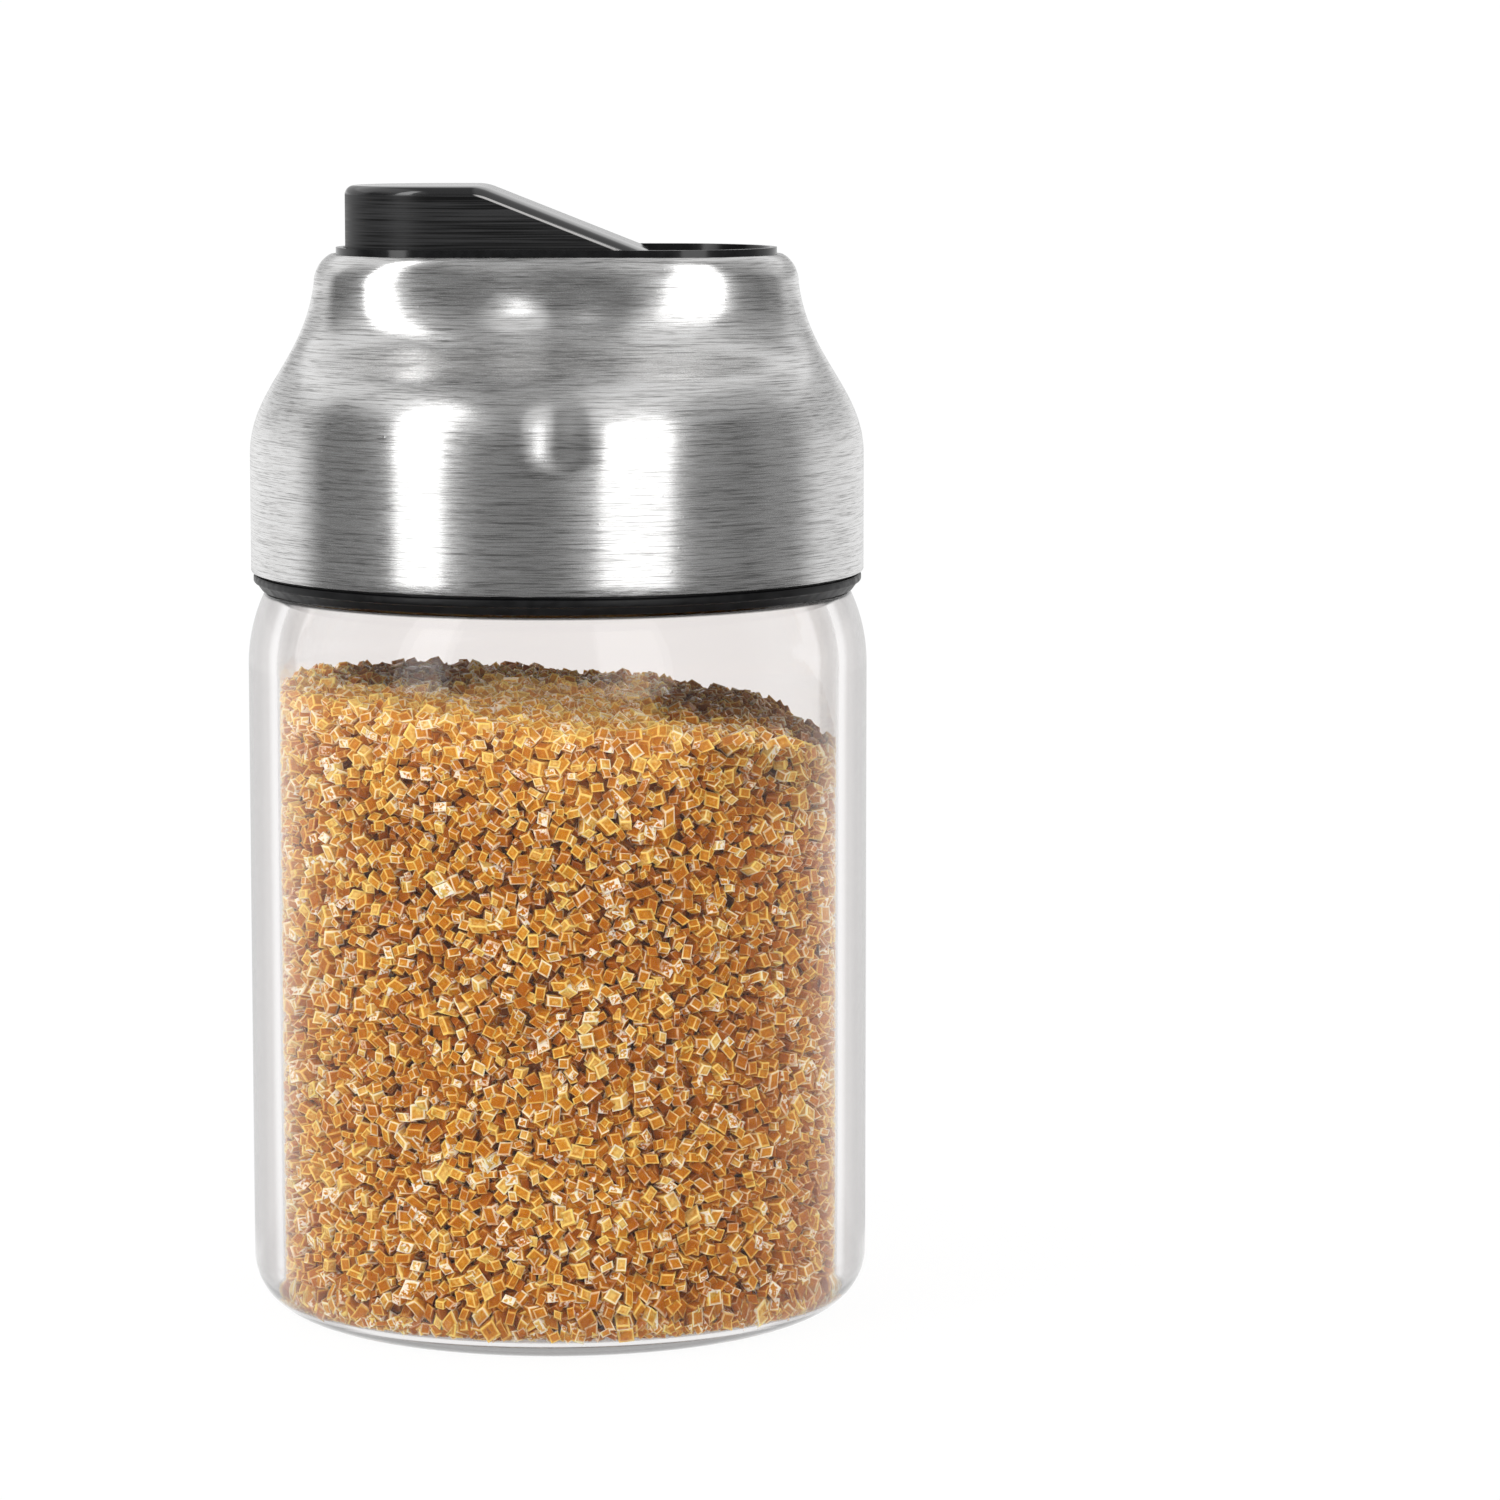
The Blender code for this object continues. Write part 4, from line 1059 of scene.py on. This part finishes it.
class OBJECT_OT_dispenser_liner(bpy.types.Operator):
    """Build the threaded inner cap with its lower flange"""

    bl_idname = "dispenser.liner"
    bl_label = "Inner cap"

    def execute(self, context):
        glass = settings("glass")
        bottom, top, flange = LINER_LOW.z, LINER_HIGH.z, LINER_HIGH.x
        wall, plate, chamfer, soft, fine = 0.0012, 0.0020, 0.0006, 0.00035, 0.0001
        flange_reach, flange_thick = 0.0006, 0.0011
        lip_wall, lip_drop = 0.0008, 0.00094
        thread_height, thread_share = 0.0010, 0.85
        outer = flange - flange_reach
        bore = outer - wall
        flange_top = bottom + flange_thick
        profile = [(0.0, top), (outer * 0.5, top), (outer - chamfer, top), (outer, top - chamfer)]
        profile += straight((outer, top - chamfer), (outer, flange_top), 4)
        profile += [(outer, flange_top)]
        profile += arc(flange - soft, flange_top - soft, soft, QUARTER, 0.0, 5)
        profile += arc(flange - soft, bottom + soft, soft, 0.0, -QUARTER, 5)
        lip, lip_low = bore + lip_wall, bottom - lip_drop
        profile += arc(lip - fine, lip_low + fine, fine, 0.0, -QUARTER, 3)
        profile += arc(bore + fine, lip_low + fine, fine, -QUARTER, -math.pi, 3)
        under = top - plate
        profile += straight((bore, bottom + soft), (bore, under - chamfer), 46)
        profile += [(bore, under - chamfer), (bore - chamfer, under), (bore * 0.5, under), (0.0, under)]
        thread_top = glass.rim - glass.thread_start - glass.thread_half
        start = thread_top - glass.thread_lead * (THREAD_TURNS + 0.5)

        def threaded(turn, r, z):
            if abs(r - bore) > 1e-6 or z <= bottom + soft:
                return r
            high = ridge(turn, z, start, glass.thread_lead, glass.thread_half * thread_share)
            return r - thread_height * high

        liner = lathe("inner_cap", profile, plastic_look(0.35, 0.25), reshape=threaded)
        mouth_radius, mouth_half, mouth_centre = mouth_sizes()
        hole = stadium(mouth_half, mouth_radius + CHUTE_WALL + GAP, centre=mouth_centre)
        combine(liner, prism("liner_hole", hole, under - OVERRUN, top + OVERRUN), "DIFFERENCE")
        smooth(liner)
        dress(liner, "cap", "black_plastic", "cap_liner")
        return {"FINISHED"}


def cup_sizes():
    """Outer radius, half length and lip height of the cup in the steel opening."""
    black, steel = settings("black"), settings("steel")
    half = steel.top_length / 2 - steel.top_width / 2
    return black.lip_wall + (FLAP_HIGH.y + GAP), half, steel.top + black.lip_rise


def hinge_place():
    """Where the hinge crosses the cup, in X and Z."""
    black = settings("black")
    _, _, lip = cup_sizes()
    return black.hinge_reach, lip - black.hinge_drop


def mouth_sizes():
    """Radius, half stretch and centre of the pouring mouth."""
    radius, half, _ = cup_sizes()
    inset, mouth_half = 0.0033, 0.0021 / 2
    return radius - settings("black").lip_wall - inset, mouth_half, -half + mouth_half


def on_stadium(half, radius, turn):
    """The point of a long round-ended outline that lies in a direction from the centre."""
    c, s = math.cos(turn), math.sin(turn)
    if abs(s) > 1e-9 and abs(c) * radius / abs(s) <= half:
        return c * radius / abs(s), math.copysign(radius, s)
    reach = half * abs(c) + math.sqrt(max(0.0, radius * radius - half * half * s * s))
    return reach * c, reach * s


# How the cover draws in at its ends and at its front: start, end and inward reach of a curve.
SIDE_CURVE = (0.38, 0.54, 0.84)
FRONT_CURVE = (0.85, 0.28, 0.95)


def drawn_in(curve, run):
    """Height share and inward share of a drawn-in curve at shares of its run."""
    start, end, reach = curve
    early = 3 * run * (1 - run) ** 2
    late = 3 * run * run * (1 - run)
    return start * early + end * late + run**3, reach * late + run**3


# Where the groove under the dimple sets in and fades, measured from the height where the cover draws in.
GROOVE_SETS_IN = (-0.0005, 0.0025)
GROOVE_FADES = (0.006, 0.010)


def dent(steel, x, z):
    """Depth of the finger dimple and of the faint groove that runs down from it."""
    across, upward = x / steel.dimple_width, (z - steel.dimple_middle) / steel.dimple_reach
    rise = z - steel.pinch_start
    below = smooth_step(*GROOVE_SETS_IN, rise) * (1.0 - smooth_step(*GROOVE_FADES, rise))
    groove = math.exp(-(((x - steel.groove_place) / steel.groove_width) ** 2))
    return steel.dimple_depth * math.exp(-(across**2) - upward**2) + steel.groove_depth * below * groove


class OBJECT_OT_dispenser_cover(bpy.types.Operator):
    """Build the drawn steel cover from its round foot to its long top"""

    bl_idname = "dispenser.cover"
    bl_label = "Steel cover"

    def execute(self, context):
        steel = settings("steel")
        top_radius = steel.top_width / 2
        half = steel.top_length / 2 - top_radius
        pinch_end = steel.pinch_start + steel.pinch_height
        edge_turn = math.acos(1 - steel.opening_inset / steel.edge_inset)
        edge_height = (steel.top - pinch_end) / math.sin(edge_turn)
        straight_steps, drawn_steps, fine_steps, edge_steps, steps = 12, 97, 401, 16, 384
        edge_softness = 0.00025
        # Each ring: height, draw-in at the ends, draw-in at the front, inset, share of the opening's form.
        foot = np.linspace(steel.bottom, steel.pinch_start, straight_steps)[:-1]
        rings = [(z, 0.0, 0.0, 0.0, 0.0) for z in foot]
        front_rise, front_in = drawn_in(FRONT_CURVE, np.linspace(0.0, 1.0, drawn_steps))
        side_in = np.interp(front_rise, *drawn_in(SIDE_CURVE, np.linspace(0.0, 1.0, fine_steps)))
        for rise, ends, front in zip(front_rise, side_in, front_in):
            rings.append((steel.pinch_start + steel.pinch_height * rise, ends, front, 0.0, 0.0))
        for step in range(1, edge_steps + 1):
            part = step / edge_steps
            turn = edge_turn * part
            height = pinch_end + edge_height * math.sin(turn)
            inset = steel.edge_inset * (1 - math.cos(turn))
            rings.append((height, 1.0, 1.0, inset, smooth_step(0.0, 1.0, part)))
        bm = bmesh.new()
        loops = []
        for z, ends, front, inset, to_opening in rings:
            long_reach = steel.radius + (half + top_radius - steel.radius) * ends - inset
            short_reach = steel.radius + (top_radius - steel.radius) * front - inset
            power = 2.0 + steel.fullness * max(front, 0.85 * ends)
            loop = []
            for step in range(steps):
                turn = math.tau * (step + 0.5) / steps
                c, s = math.cos(turn), math.sin(turn)
                reach = (abs(c / long_reach) ** power + abs(s / short_reach) ** power) ** (-1 / power)
                x, y = reach * c, reach * s
                if to_opening > 0.0:
                    end_x, end_y = on_stadium(half, top_radius - inset, turn)
                    x, y = x + (end_x - x) * to_opening, y + (end_y - y) * to_opening
                if abs(s) > 0.2:
                    y -= math.copysign(dent(steel, x, z), y)
                loop.append(bm.verts.new((x, y, z)))
            loops.append(loop)
        skin(bm, loops, rising=True)
        cover = add_object("steel_cover", from_bmesh(bm, "steel_cover"), steel_look())
        smooth(cover, math.radians(60))
        sheet = cover.modifiers.new("Sheet", "SOLIDIFY")
        sheet.thickness = steel.wall
        sheet.offset = -1.0
        sheet.use_even_offset = True
        settle(cover)
        round_edges(cover, edge_softness, 2, 50)
        dress(cover, "cap", "brushed_steel", "cap_shell")
        return {"FINISHED"}


def cup_side(wall):
    """Side outline of the cup's floor: seat, step, well and rising ramp, moved out by a wall."""
    black = settings("black")
    radius, half, lip = cup_sizes()
    step_x = black.well_start - wall
    right = half + radius + OVERRUN
    ramp_top = lip - black.ramp_drop
    well = lip - black.well_depth - wall
    ramp_width = half + radius - black.lip_wall - black.ramp_start + wall
    seat = lip - black.seat_drop - wall
    points = [(-right, seat), (step_x, seat), (step_x, well)]
    steps = 28
    for step in range(steps + 1):
        turn = QUARTER * step / steps
        points.append(
            (black.ramp_start + ramp_width * math.sin(turn), ramp_top - (ramp_top - well) * math.cos(turn))
        )
    return points + [(right, ramp_top), (right, lip + OVERRUN), (-right, lip + OVERRUN)]


class OBJECT_OT_dispenser_insert(bpy.types.Operator):
    """Build the black cup with its lip, thumb well, mouth and chute"""

    bl_idname = "dispenser.insert"
    bl_label = "Pouring insert"

    def execute(self, context):
        black = settings("black")
        radius, half, lip = cup_sizes()
        mouth_radius, mouth_half, mouth_centre = mouth_sizes()
        wide = radius + OVERRUN
        low = lip - black.well_depth - black.cup_wall - OVERRUN
        seat_bottom = lip - black.seat_drop - black.cup_wall
        chute_low, chute_radius = INSERT_LOW.z, mouth_radius + CHUTE_WALL
        flange_low = LINER_HIGH.z + GAP
        flange_wide, flange_thick = 0.0030, 0.0012
        bead_depth, bead_drop, bead_wide = 0.0031, 0.0012, 0.0007
        boss_radius, boss_out, joined = 0.0019, 0.0011, 0.0007
        catch_half, catch_out, catch_high = 0.0030, 0.0011, 0.0012
        edge_softness = 0.00028

        def block(name, long_half, reach, bottom, top, centre=0.0):
            """A long round-ended block."""
            return prism(name, stadium(long_half, reach, 144, centre), bottom, top)

        def around_mouth(name, reach, bottom, top):
            """A round-ended block about the mouth."""
            return block(name, mouth_half, reach, bottom, top, mouth_centre)

        body = block("pouring_insert", half, radius, low, lip)
        combine(body, prism("cup_outside", cup_side(black.cup_wall), -wide, wide, False), "INTERSECT")
        cavity = block("cup_cavity", half, radius - black.lip_wall, low, lip + OVERRUN)
        combine(cavity, prism("cup_inside", cup_side(0.0), -wide, wide, False), "INTERSECT")
        catch_reach = chute_radius + catch_out
        catches = [(mouth_centre + side * catch_half, catch_reach * way) for side, way in SQUARE]
        for part in (
            block("cup_bead", half, radius + bead_wide, lip - bead_depth, lip - black.lip_rise - bead_drop),
            rod("hinge_bosses", boss_radius, radius + boss_out, hinge_place()),
            around_mouth("chute", chute_radius, chute_low, seat_bottom + joined),
            around_mouth("chute_flange", chute_radius + flange_wide, flange_low, flange_low + flange_thick),
            prism("chute_catches", catches, chute_low, chute_low + catch_high),
        ):
            combine(body, part, "UNION")
        for part in (
            cavity,
            around_mouth("mouth_hole", mouth_radius, chute_low - OVERRUN, lip),
            rod("hinge_holes", PIN_HOLE, PIN_HIGH.y + GAP, hinge_place()),
        ):
            combine(body, part, "DIFFERENCE")
        body.data.materials.clear()
        body.data.materials.append(plastic_look())
        round_edges(body, edge_softness, 3, 40)
        dress(body, "cap", "black_plastic", "spout_insert")
        return {"FINISHED"}


def flap_slope():
    """Slope of the flap's tail, the place where it starts, and the length of its bend to either side."""
    black = settings("black")
    bend_x = FLAP_LOW.x + black.flat_length
    fall = FLAP_HIGH.z - FLAP_LOW.z - black.tail_thick
    slope = math.atan(fall / (FLAP_HIGH.x - bend_x))
    return slope, bend_x, black.bend_radius * math.tan(slope / 2)


def flap_height(x):
    """Height of the flap's top: level, a round bend, then the slope down to the tail."""
    radius = settings("black").bend_radius
    slope, bend_x, tangent = flap_slope()
    bend_start = bend_x - tangent
    if x <= bend_start:
        return FLAP_HIGH.z
    if x < bend_start + radius * math.sin(slope):
        return FLAP_HIGH.z - radius + math.sqrt(radius**2 - (x - bend_start) ** 2)
    return FLAP_HIGH.z - (x - bend_x) * math.tan(slope)


def flap_front(inset):
    """Front half of the flap's plan, from its round left end to the tail, as x and half width."""
    black = settings("black")
    _, half, _ = cup_sizes()
    radius = FLAP_HIGH.y - inset
    slope, bend_x, tangent = flap_slope()
    corner_size = 0.0030
    corner = corner_size - inset
    end_steps, bend_steps, corner_steps = 40, 12, 12
    points = []
    for step in range(end_steps):
        turn = (step + 0.5) * QUARTER / end_steps
        points.append((-half - radius * math.cos(turn), radius * math.sin(turn)))
    for step in range(bend_steps + 1):
        points.append((bend_x - tangent + black.bend_radius * math.sin(slope * step / bend_steps), radius))
    tail_x = FLAP_HIGH.x - corner_size
    for step in range(corner_steps):
        turn = QUARTER * (step + 0.5) / corner_steps
        points.append((tail_x + corner * math.sin(turn), radius - corner + corner * math.cos(turn)))
    return points


class OBJECT_OT_dispenser_flap(bpy.types.Operator):
    """Build the hollow wedge of the flap and give the parts under it their finish"""

    bl_idname = "dispenser.flap"
    bl_label = "Pouring flap"

    def execute(self, context):
        wall, soft, edge = 0.0014, 0.0002, settings("black").edge_round
        bottom = FLAP_LOW.z
        rings = [[(x, y, flap_height(x) - wall) for x, y in flap_front(wall)]]
        for inset, z in ((wall, bottom + soft), (wall - soft, bottom), (soft, bottom), (0.0, bottom + soft)):
            rings.append([(x, y, z) for x, y in flap_front(inset)])
        edge_steps = 8
        for step in range(edge_steps + 1):
            turn = QUARTER * step / edge_steps
            inset, fall = edge * (1 - math.cos(turn)), edge * (1 - math.sin(turn))
            rings.append([(x, y, flap_height(x) - fall) for x, y in flap_front(inset)])
        bm = bmesh.new()
        loops = []
        for ring in rings:
            front = [bm.verts.new((x, -y, z)) for x, y, z in ring]
            loops.append(front + [bm.verts.new((x, y, z)) for x, y, z in reversed(ring)])
        skin(bm, loops, rising=True)
        count = len(loops[0])
        for loop in (loops[0], loops[-1]):
            for i in range(count // 2 - 1):
                bm.faces.new((loop[i], loop[i + 1], loop[count - 2 - i], loop[count - 1 - i]))
        bmesh.ops.recalc_face_normals(bm, faces=bm.faces)
        flap = add_object("flap_wedge", from_bmesh(bm, "flap_wedge"), satin_look())
        smooth(flap)
        combine(flap, rod("flap_notches", PIN_HOLE, FLAP_HIGH.y + OVERRUN, hinge_place()), "DIFFERENCE")
        smooth(flap)
        dress(flap, "flap", "flap_black", "flap_cover")

        finishes = {"flap_carrier": plastic_look(), "flap_seal": silicone_look(), "hinge_pin": pin_look()}
        for node, finish in finishes.items():
            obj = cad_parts[node]
            for index in range(len(obj.material_slots)):
                obj.material_slots[index].material = finish
        return {"FINISHED"}


def panel_lamp(name, azimuth, high, width_angle, radiance, reach):
    """An upright softbox that faces the axis, given by its direction, its height and its radiance."""
    low = -0.005
    lamp = bpy.data.lights.new(name, "AREA")
    lamp.shape = "RECTANGLE"
    lamp.size = 2 * reach * math.tan(math.radians(width_angle) / 2)
    lamp.size_y = high - low
    lamp.energy = radiance * math.pi * lamp.size * lamp.size_y
    obj = bpy.data.objects.new(name, lamp)
    bpy.context.scene.collection.objects.link(obj)
    turn = math.radians(azimuth)
    obj.location = (reach * math.sin(turn), -reach * math.cos(turn), (low + high) / 2)
    aim = Vector((-obj.location.x, -obj.location.y, 0.0))
    obj.rotation_euler = aim.to_track_quat("-Z", "Y").to_euler()


# Brightness around the object by direction in degrees. The third number is 1 where it counts in dim rooms.
LEVEL_RING = (
    (-180, 1.1, 0), (-150, 1.25, 0), (-112, 1.2, 0), (-97, 0.8, 1), (-76, 1.0, 1), (-66, 1.5, 1),
    (-58, 1.6, 1), (-45, 1.3, 0), (-40, 1.15, 0), (-29, 1.0, 1), (-4, 0.8, 1), (3, 1.0, 1), (18, 1.25, 0),
    (42, 1.3, 0), (47, 1.0, 0), (55, 1.3, 1), (66, 1.1, 1), (76, 0.85, 1), (86, 1.3, 1), (101, 1.5, 1),
    (117, 1.0, 0), (154, 1.15, 0), (180, 1.1, 0),
)
LOW_RING = ((-180, 1.1, 0), (-112, 1.1, 0), (-97, 0.6, 1), (101, 0.6, 1), (117, 1.0, 0), (180, 1.1, 0))
# The white that surfaces are lit by, and the part of it that they mirror.
WHITE = 1.02
MIRRORED_WHITE = 0.72


def ring_ramp(tree, place, stops, high, room):
    """Brightness by direction around the object, as a share of the highest."""
    across, depth, _ = split(tree, place)
    turn = maths(tree, "ARCTAN2", across, times(tree, depth, -1.0))
    full = plus(tree, maths(tree, "DIVIDE", turn, math.tau), 0.5)
    level = MIRRORED_WHITE / high
    shares = [
        ((degrees + 180) / 360, value * (room if dim else 1.0) * level) for degrees, value, dim in stops
    ]
    return ramp(tree, full, shares, eased=False)


def mirror_rays(tree):
    """The light path, and 1 on rays that were mirrored by a surface and not bent through glass."""
    path = add(tree, "ShaderNodeLightPath")
    through = path.outputs["Is Transmission Ray"]
    return path, maths(tree, "SUBTRACT", path.outputs["Is Glossy Ray"], through, clamp=True)


class OBJECT_OT_dispenser_stage(bpy.types.Operator):
    """Set the camera, the lamps, the white room and the pale floor"""

    bl_idname = "dispenser.stage"
    bl_label = "Stage"

    def execute(self, context):
        stage = settings("stage")
        scene = context.scene
        scene.view_settings.view_transform = "Standard"
        camera = bpy.data.cameras.new("camera")
        camera.lens = stage.lens
        camera.sensor_width = 36.0
        eye = bpy.data.objects.new("camera", camera)
        scene.collection.objects.link(eye)
        eye.location = stage.camera_place
        eye.rotation_euler = (QUARTER - stage.camera_pitch, 0.0, 0.0)
        scene.camera = eye
        panel_lamp("left_softbox", -50, 1.70, 19, stage.left_power, stage.lamp_reach)
        panel_lamp("right_softbox", 30.5, 0.85, 27, stage.right_power, stage.lamp_reach)
        self.make_room(scene, stage)
        self.make_floor(stage)
        return {"FINISHED"}

    def make_room(self, scene, stage):
        """White to the camera, and for reflections a room that is dim in front and bright behind."""
        high = 1.6
        white = WHITE / high
        world = bpy.data.worlds.new("room")
        scene.world = world
        world.use_nodes = True
        tree = world.node_tree
        tree.nodes.clear()
        out = tree.nodes.new("ShaderNodeOutputWorld")
        way = coordinates(tree, "Generated")
        sideways, _, upward = split(tree, way)
        raised = ramp(tree, upward, [(0.03, 1.0), (0.15, 0.58), (0.34, 0.62), (0.46, 1.0)])
        level_ring = multiply_colour(tree, ring_ramp(tree, way, LEVEL_RING, high, stage.room), raised)
        low_ring = ring_ramp(tree, way, LOW_RING, high, stage.room)
        around = mix_colour(tree, rise_between(tree, upward, -0.106, -0.096), low_ring, level_ring)
        across = plus(tree, times(tree, sideways, 0.5), 0.5)
        overhead = (
            (0.0, 1.0), (0.28, 1.0), (0.39, stage.ceiling), (0.495, stage.ceiling), (0.515, 0.70),
            (0.535, 0.95), (0.69, 1.0), (0.76, 0.55), (1.0, 0.65),
        )
        ceiling = ramp(tree, across, [(place, value * MIRRORED_WHITE / high) for place, value in overhead])
        reflected = mix_colour(tree, rise_between(tree, upward, 0.42, 0.72), around, ceiling)
        path, mirrored = mirror_rays(tree)
        plain = ramp(tree, across, [(0.0, 1.12 * white), (0.5, white), (1.0, 0.66 * white)])
        lit = mix_colour(tree, path.outputs["Is Diffuse Ray"], (white, white, white), plain)
        background = add(tree, "ShaderNodeBackground", {"Strength": high})
        join(tree, mix_colour(tree, mirrored, lit, reflected), background.inputs["Color"])
        join(tree, background.outputs["Background"], out.inputs["Surface"])

    def make_floor(self, stage):
        """A round pale floor under the jar, white to the camera apart from a faint shadow."""
        high, below = 1.1, 0.0002
        white = WHITE / high
        made, tree, shader = look("pale_floor")
        grain = stretched(tree, EVEN, size=60.0, detail=3.0)
        tone = ramp(tree, grain.outputs["Fac"], [(0.3, (0.84, 0.84, 0.84)), (0.7, (0.87, 0.87, 0.87))])
        join(tree, tone, shader.inputs["Base Color"])
        shader.inputs["Roughness"].default_value = 0.7
        path, mirrored = mirror_rays(tree)
        place = coordinates(tree)
        distance = add(tree, "ShaderNodeVectorMath", operation="LENGTH")
        join(tree, place, distance.inputs[0])
        far = ramp(tree, distance.outputs["Value"], [(0.042, 0.0), (0.075, 1.0)])
        ring = ring_ramp(tree, place, LOW_RING, high, stage.room)
        mirror = mix_colour(tree, far, (1.0, 1.0, 1.0), ring)
        glow = add(tree, "ShaderNodeEmission", {"Strength": high})
        join(tree, mix_colour(tree, mirrored, (white, white, white), mirror), glow.inputs["Color"])
        direct = times(tree, path.outputs["Is Camera Ray"], 0.93)
        seen = maths(tree, "MAXIMUM", direct, path.outputs["Is Transmission Ray"])
        share_lit = maths(tree, "MAXIMUM", seen, mirrored)
        blend = mix_shader(tree, share_lit, shader.outputs["BSDF"], glow.outputs["Emission"])
        join(tree, blend, tree.nodes["Material Output"].inputs["Surface"])
        bm = bmesh.new()
        bmesh.ops.create_circle(bm, cap_ends=True, segments=96, radius=stage.floor_radius)
        bmesh.ops.translate(bm, vec=(0.0, 0.0, -below), verts=bm.verts)
        add_object("floor", from_bmesh(bm, "floor"), made)


OPERATORS = (
    OBJECT_OT_dispenser_stage,
    OBJECT_OT_dispenser_glass,
    OBJECT_OT_dispenser_sugar,
    OBJECT_OT_dispenser_gasket,
    OBJECT_OT_dispenser_liner,
    OBJECT_OT_dispenser_cover,
    OBJECT_OT_dispenser_insert,
    OBJECT_OT_dispenser_flap,
)


class VIEW3D_PT_dispenser(bpy.types.Panel):
    """Lists the steps that build the dispenser"""

    bl_idname = "VIEW3D_PT_dispenser"
    bl_label = "Sugar dispenser"
    bl_space_type = "VIEW_3D"
    bl_region_type = "UI"
    bl_category = "Sugar"

    def draw(self, context):
        column = self.layout.column()
        for operator in OPERATORS:
            column.operator(operator.bl_idname)


GROUPS = {
    "glass": DispenserGlass,
    "sugar": DispenserSugar,
    "steel": DispenserSteel,
    "black": DispenserBlack,
    "stage": DispenserStage,
}


def register():
    """Register the settings, the operators and the panel."""
    for name, group in GROUPS.items():
        bpy.utils.register_class(group)
        setattr(bpy.types.Scene, f"dispenser_{name}", bpy.props.PointerProperty(type=group))
    for operator in OPERATORS:
        bpy.utils.register_class(operator)
    bpy.utils.register_class(VIEW3D_PT_dispenser)


def unregister():
    """Remove what register added."""
    bpy.utils.unregister_class(VIEW3D_PT_dispenser)
    for operator in reversed(OPERATORS):
        bpy.utils.unregister_class(operator)
    for name, group in GROUPS.items():
        delattr(bpy.types.Scene, f"dispenser_{name}")
        bpy.utils.unregister_class(group)


def main():
    register()
    for operator in OPERATORS:
        group, name = operator.bl_idname.split(".")
        getattr(getattr(bpy.ops, group), name)()


if __name__ == "__main__":
    main()
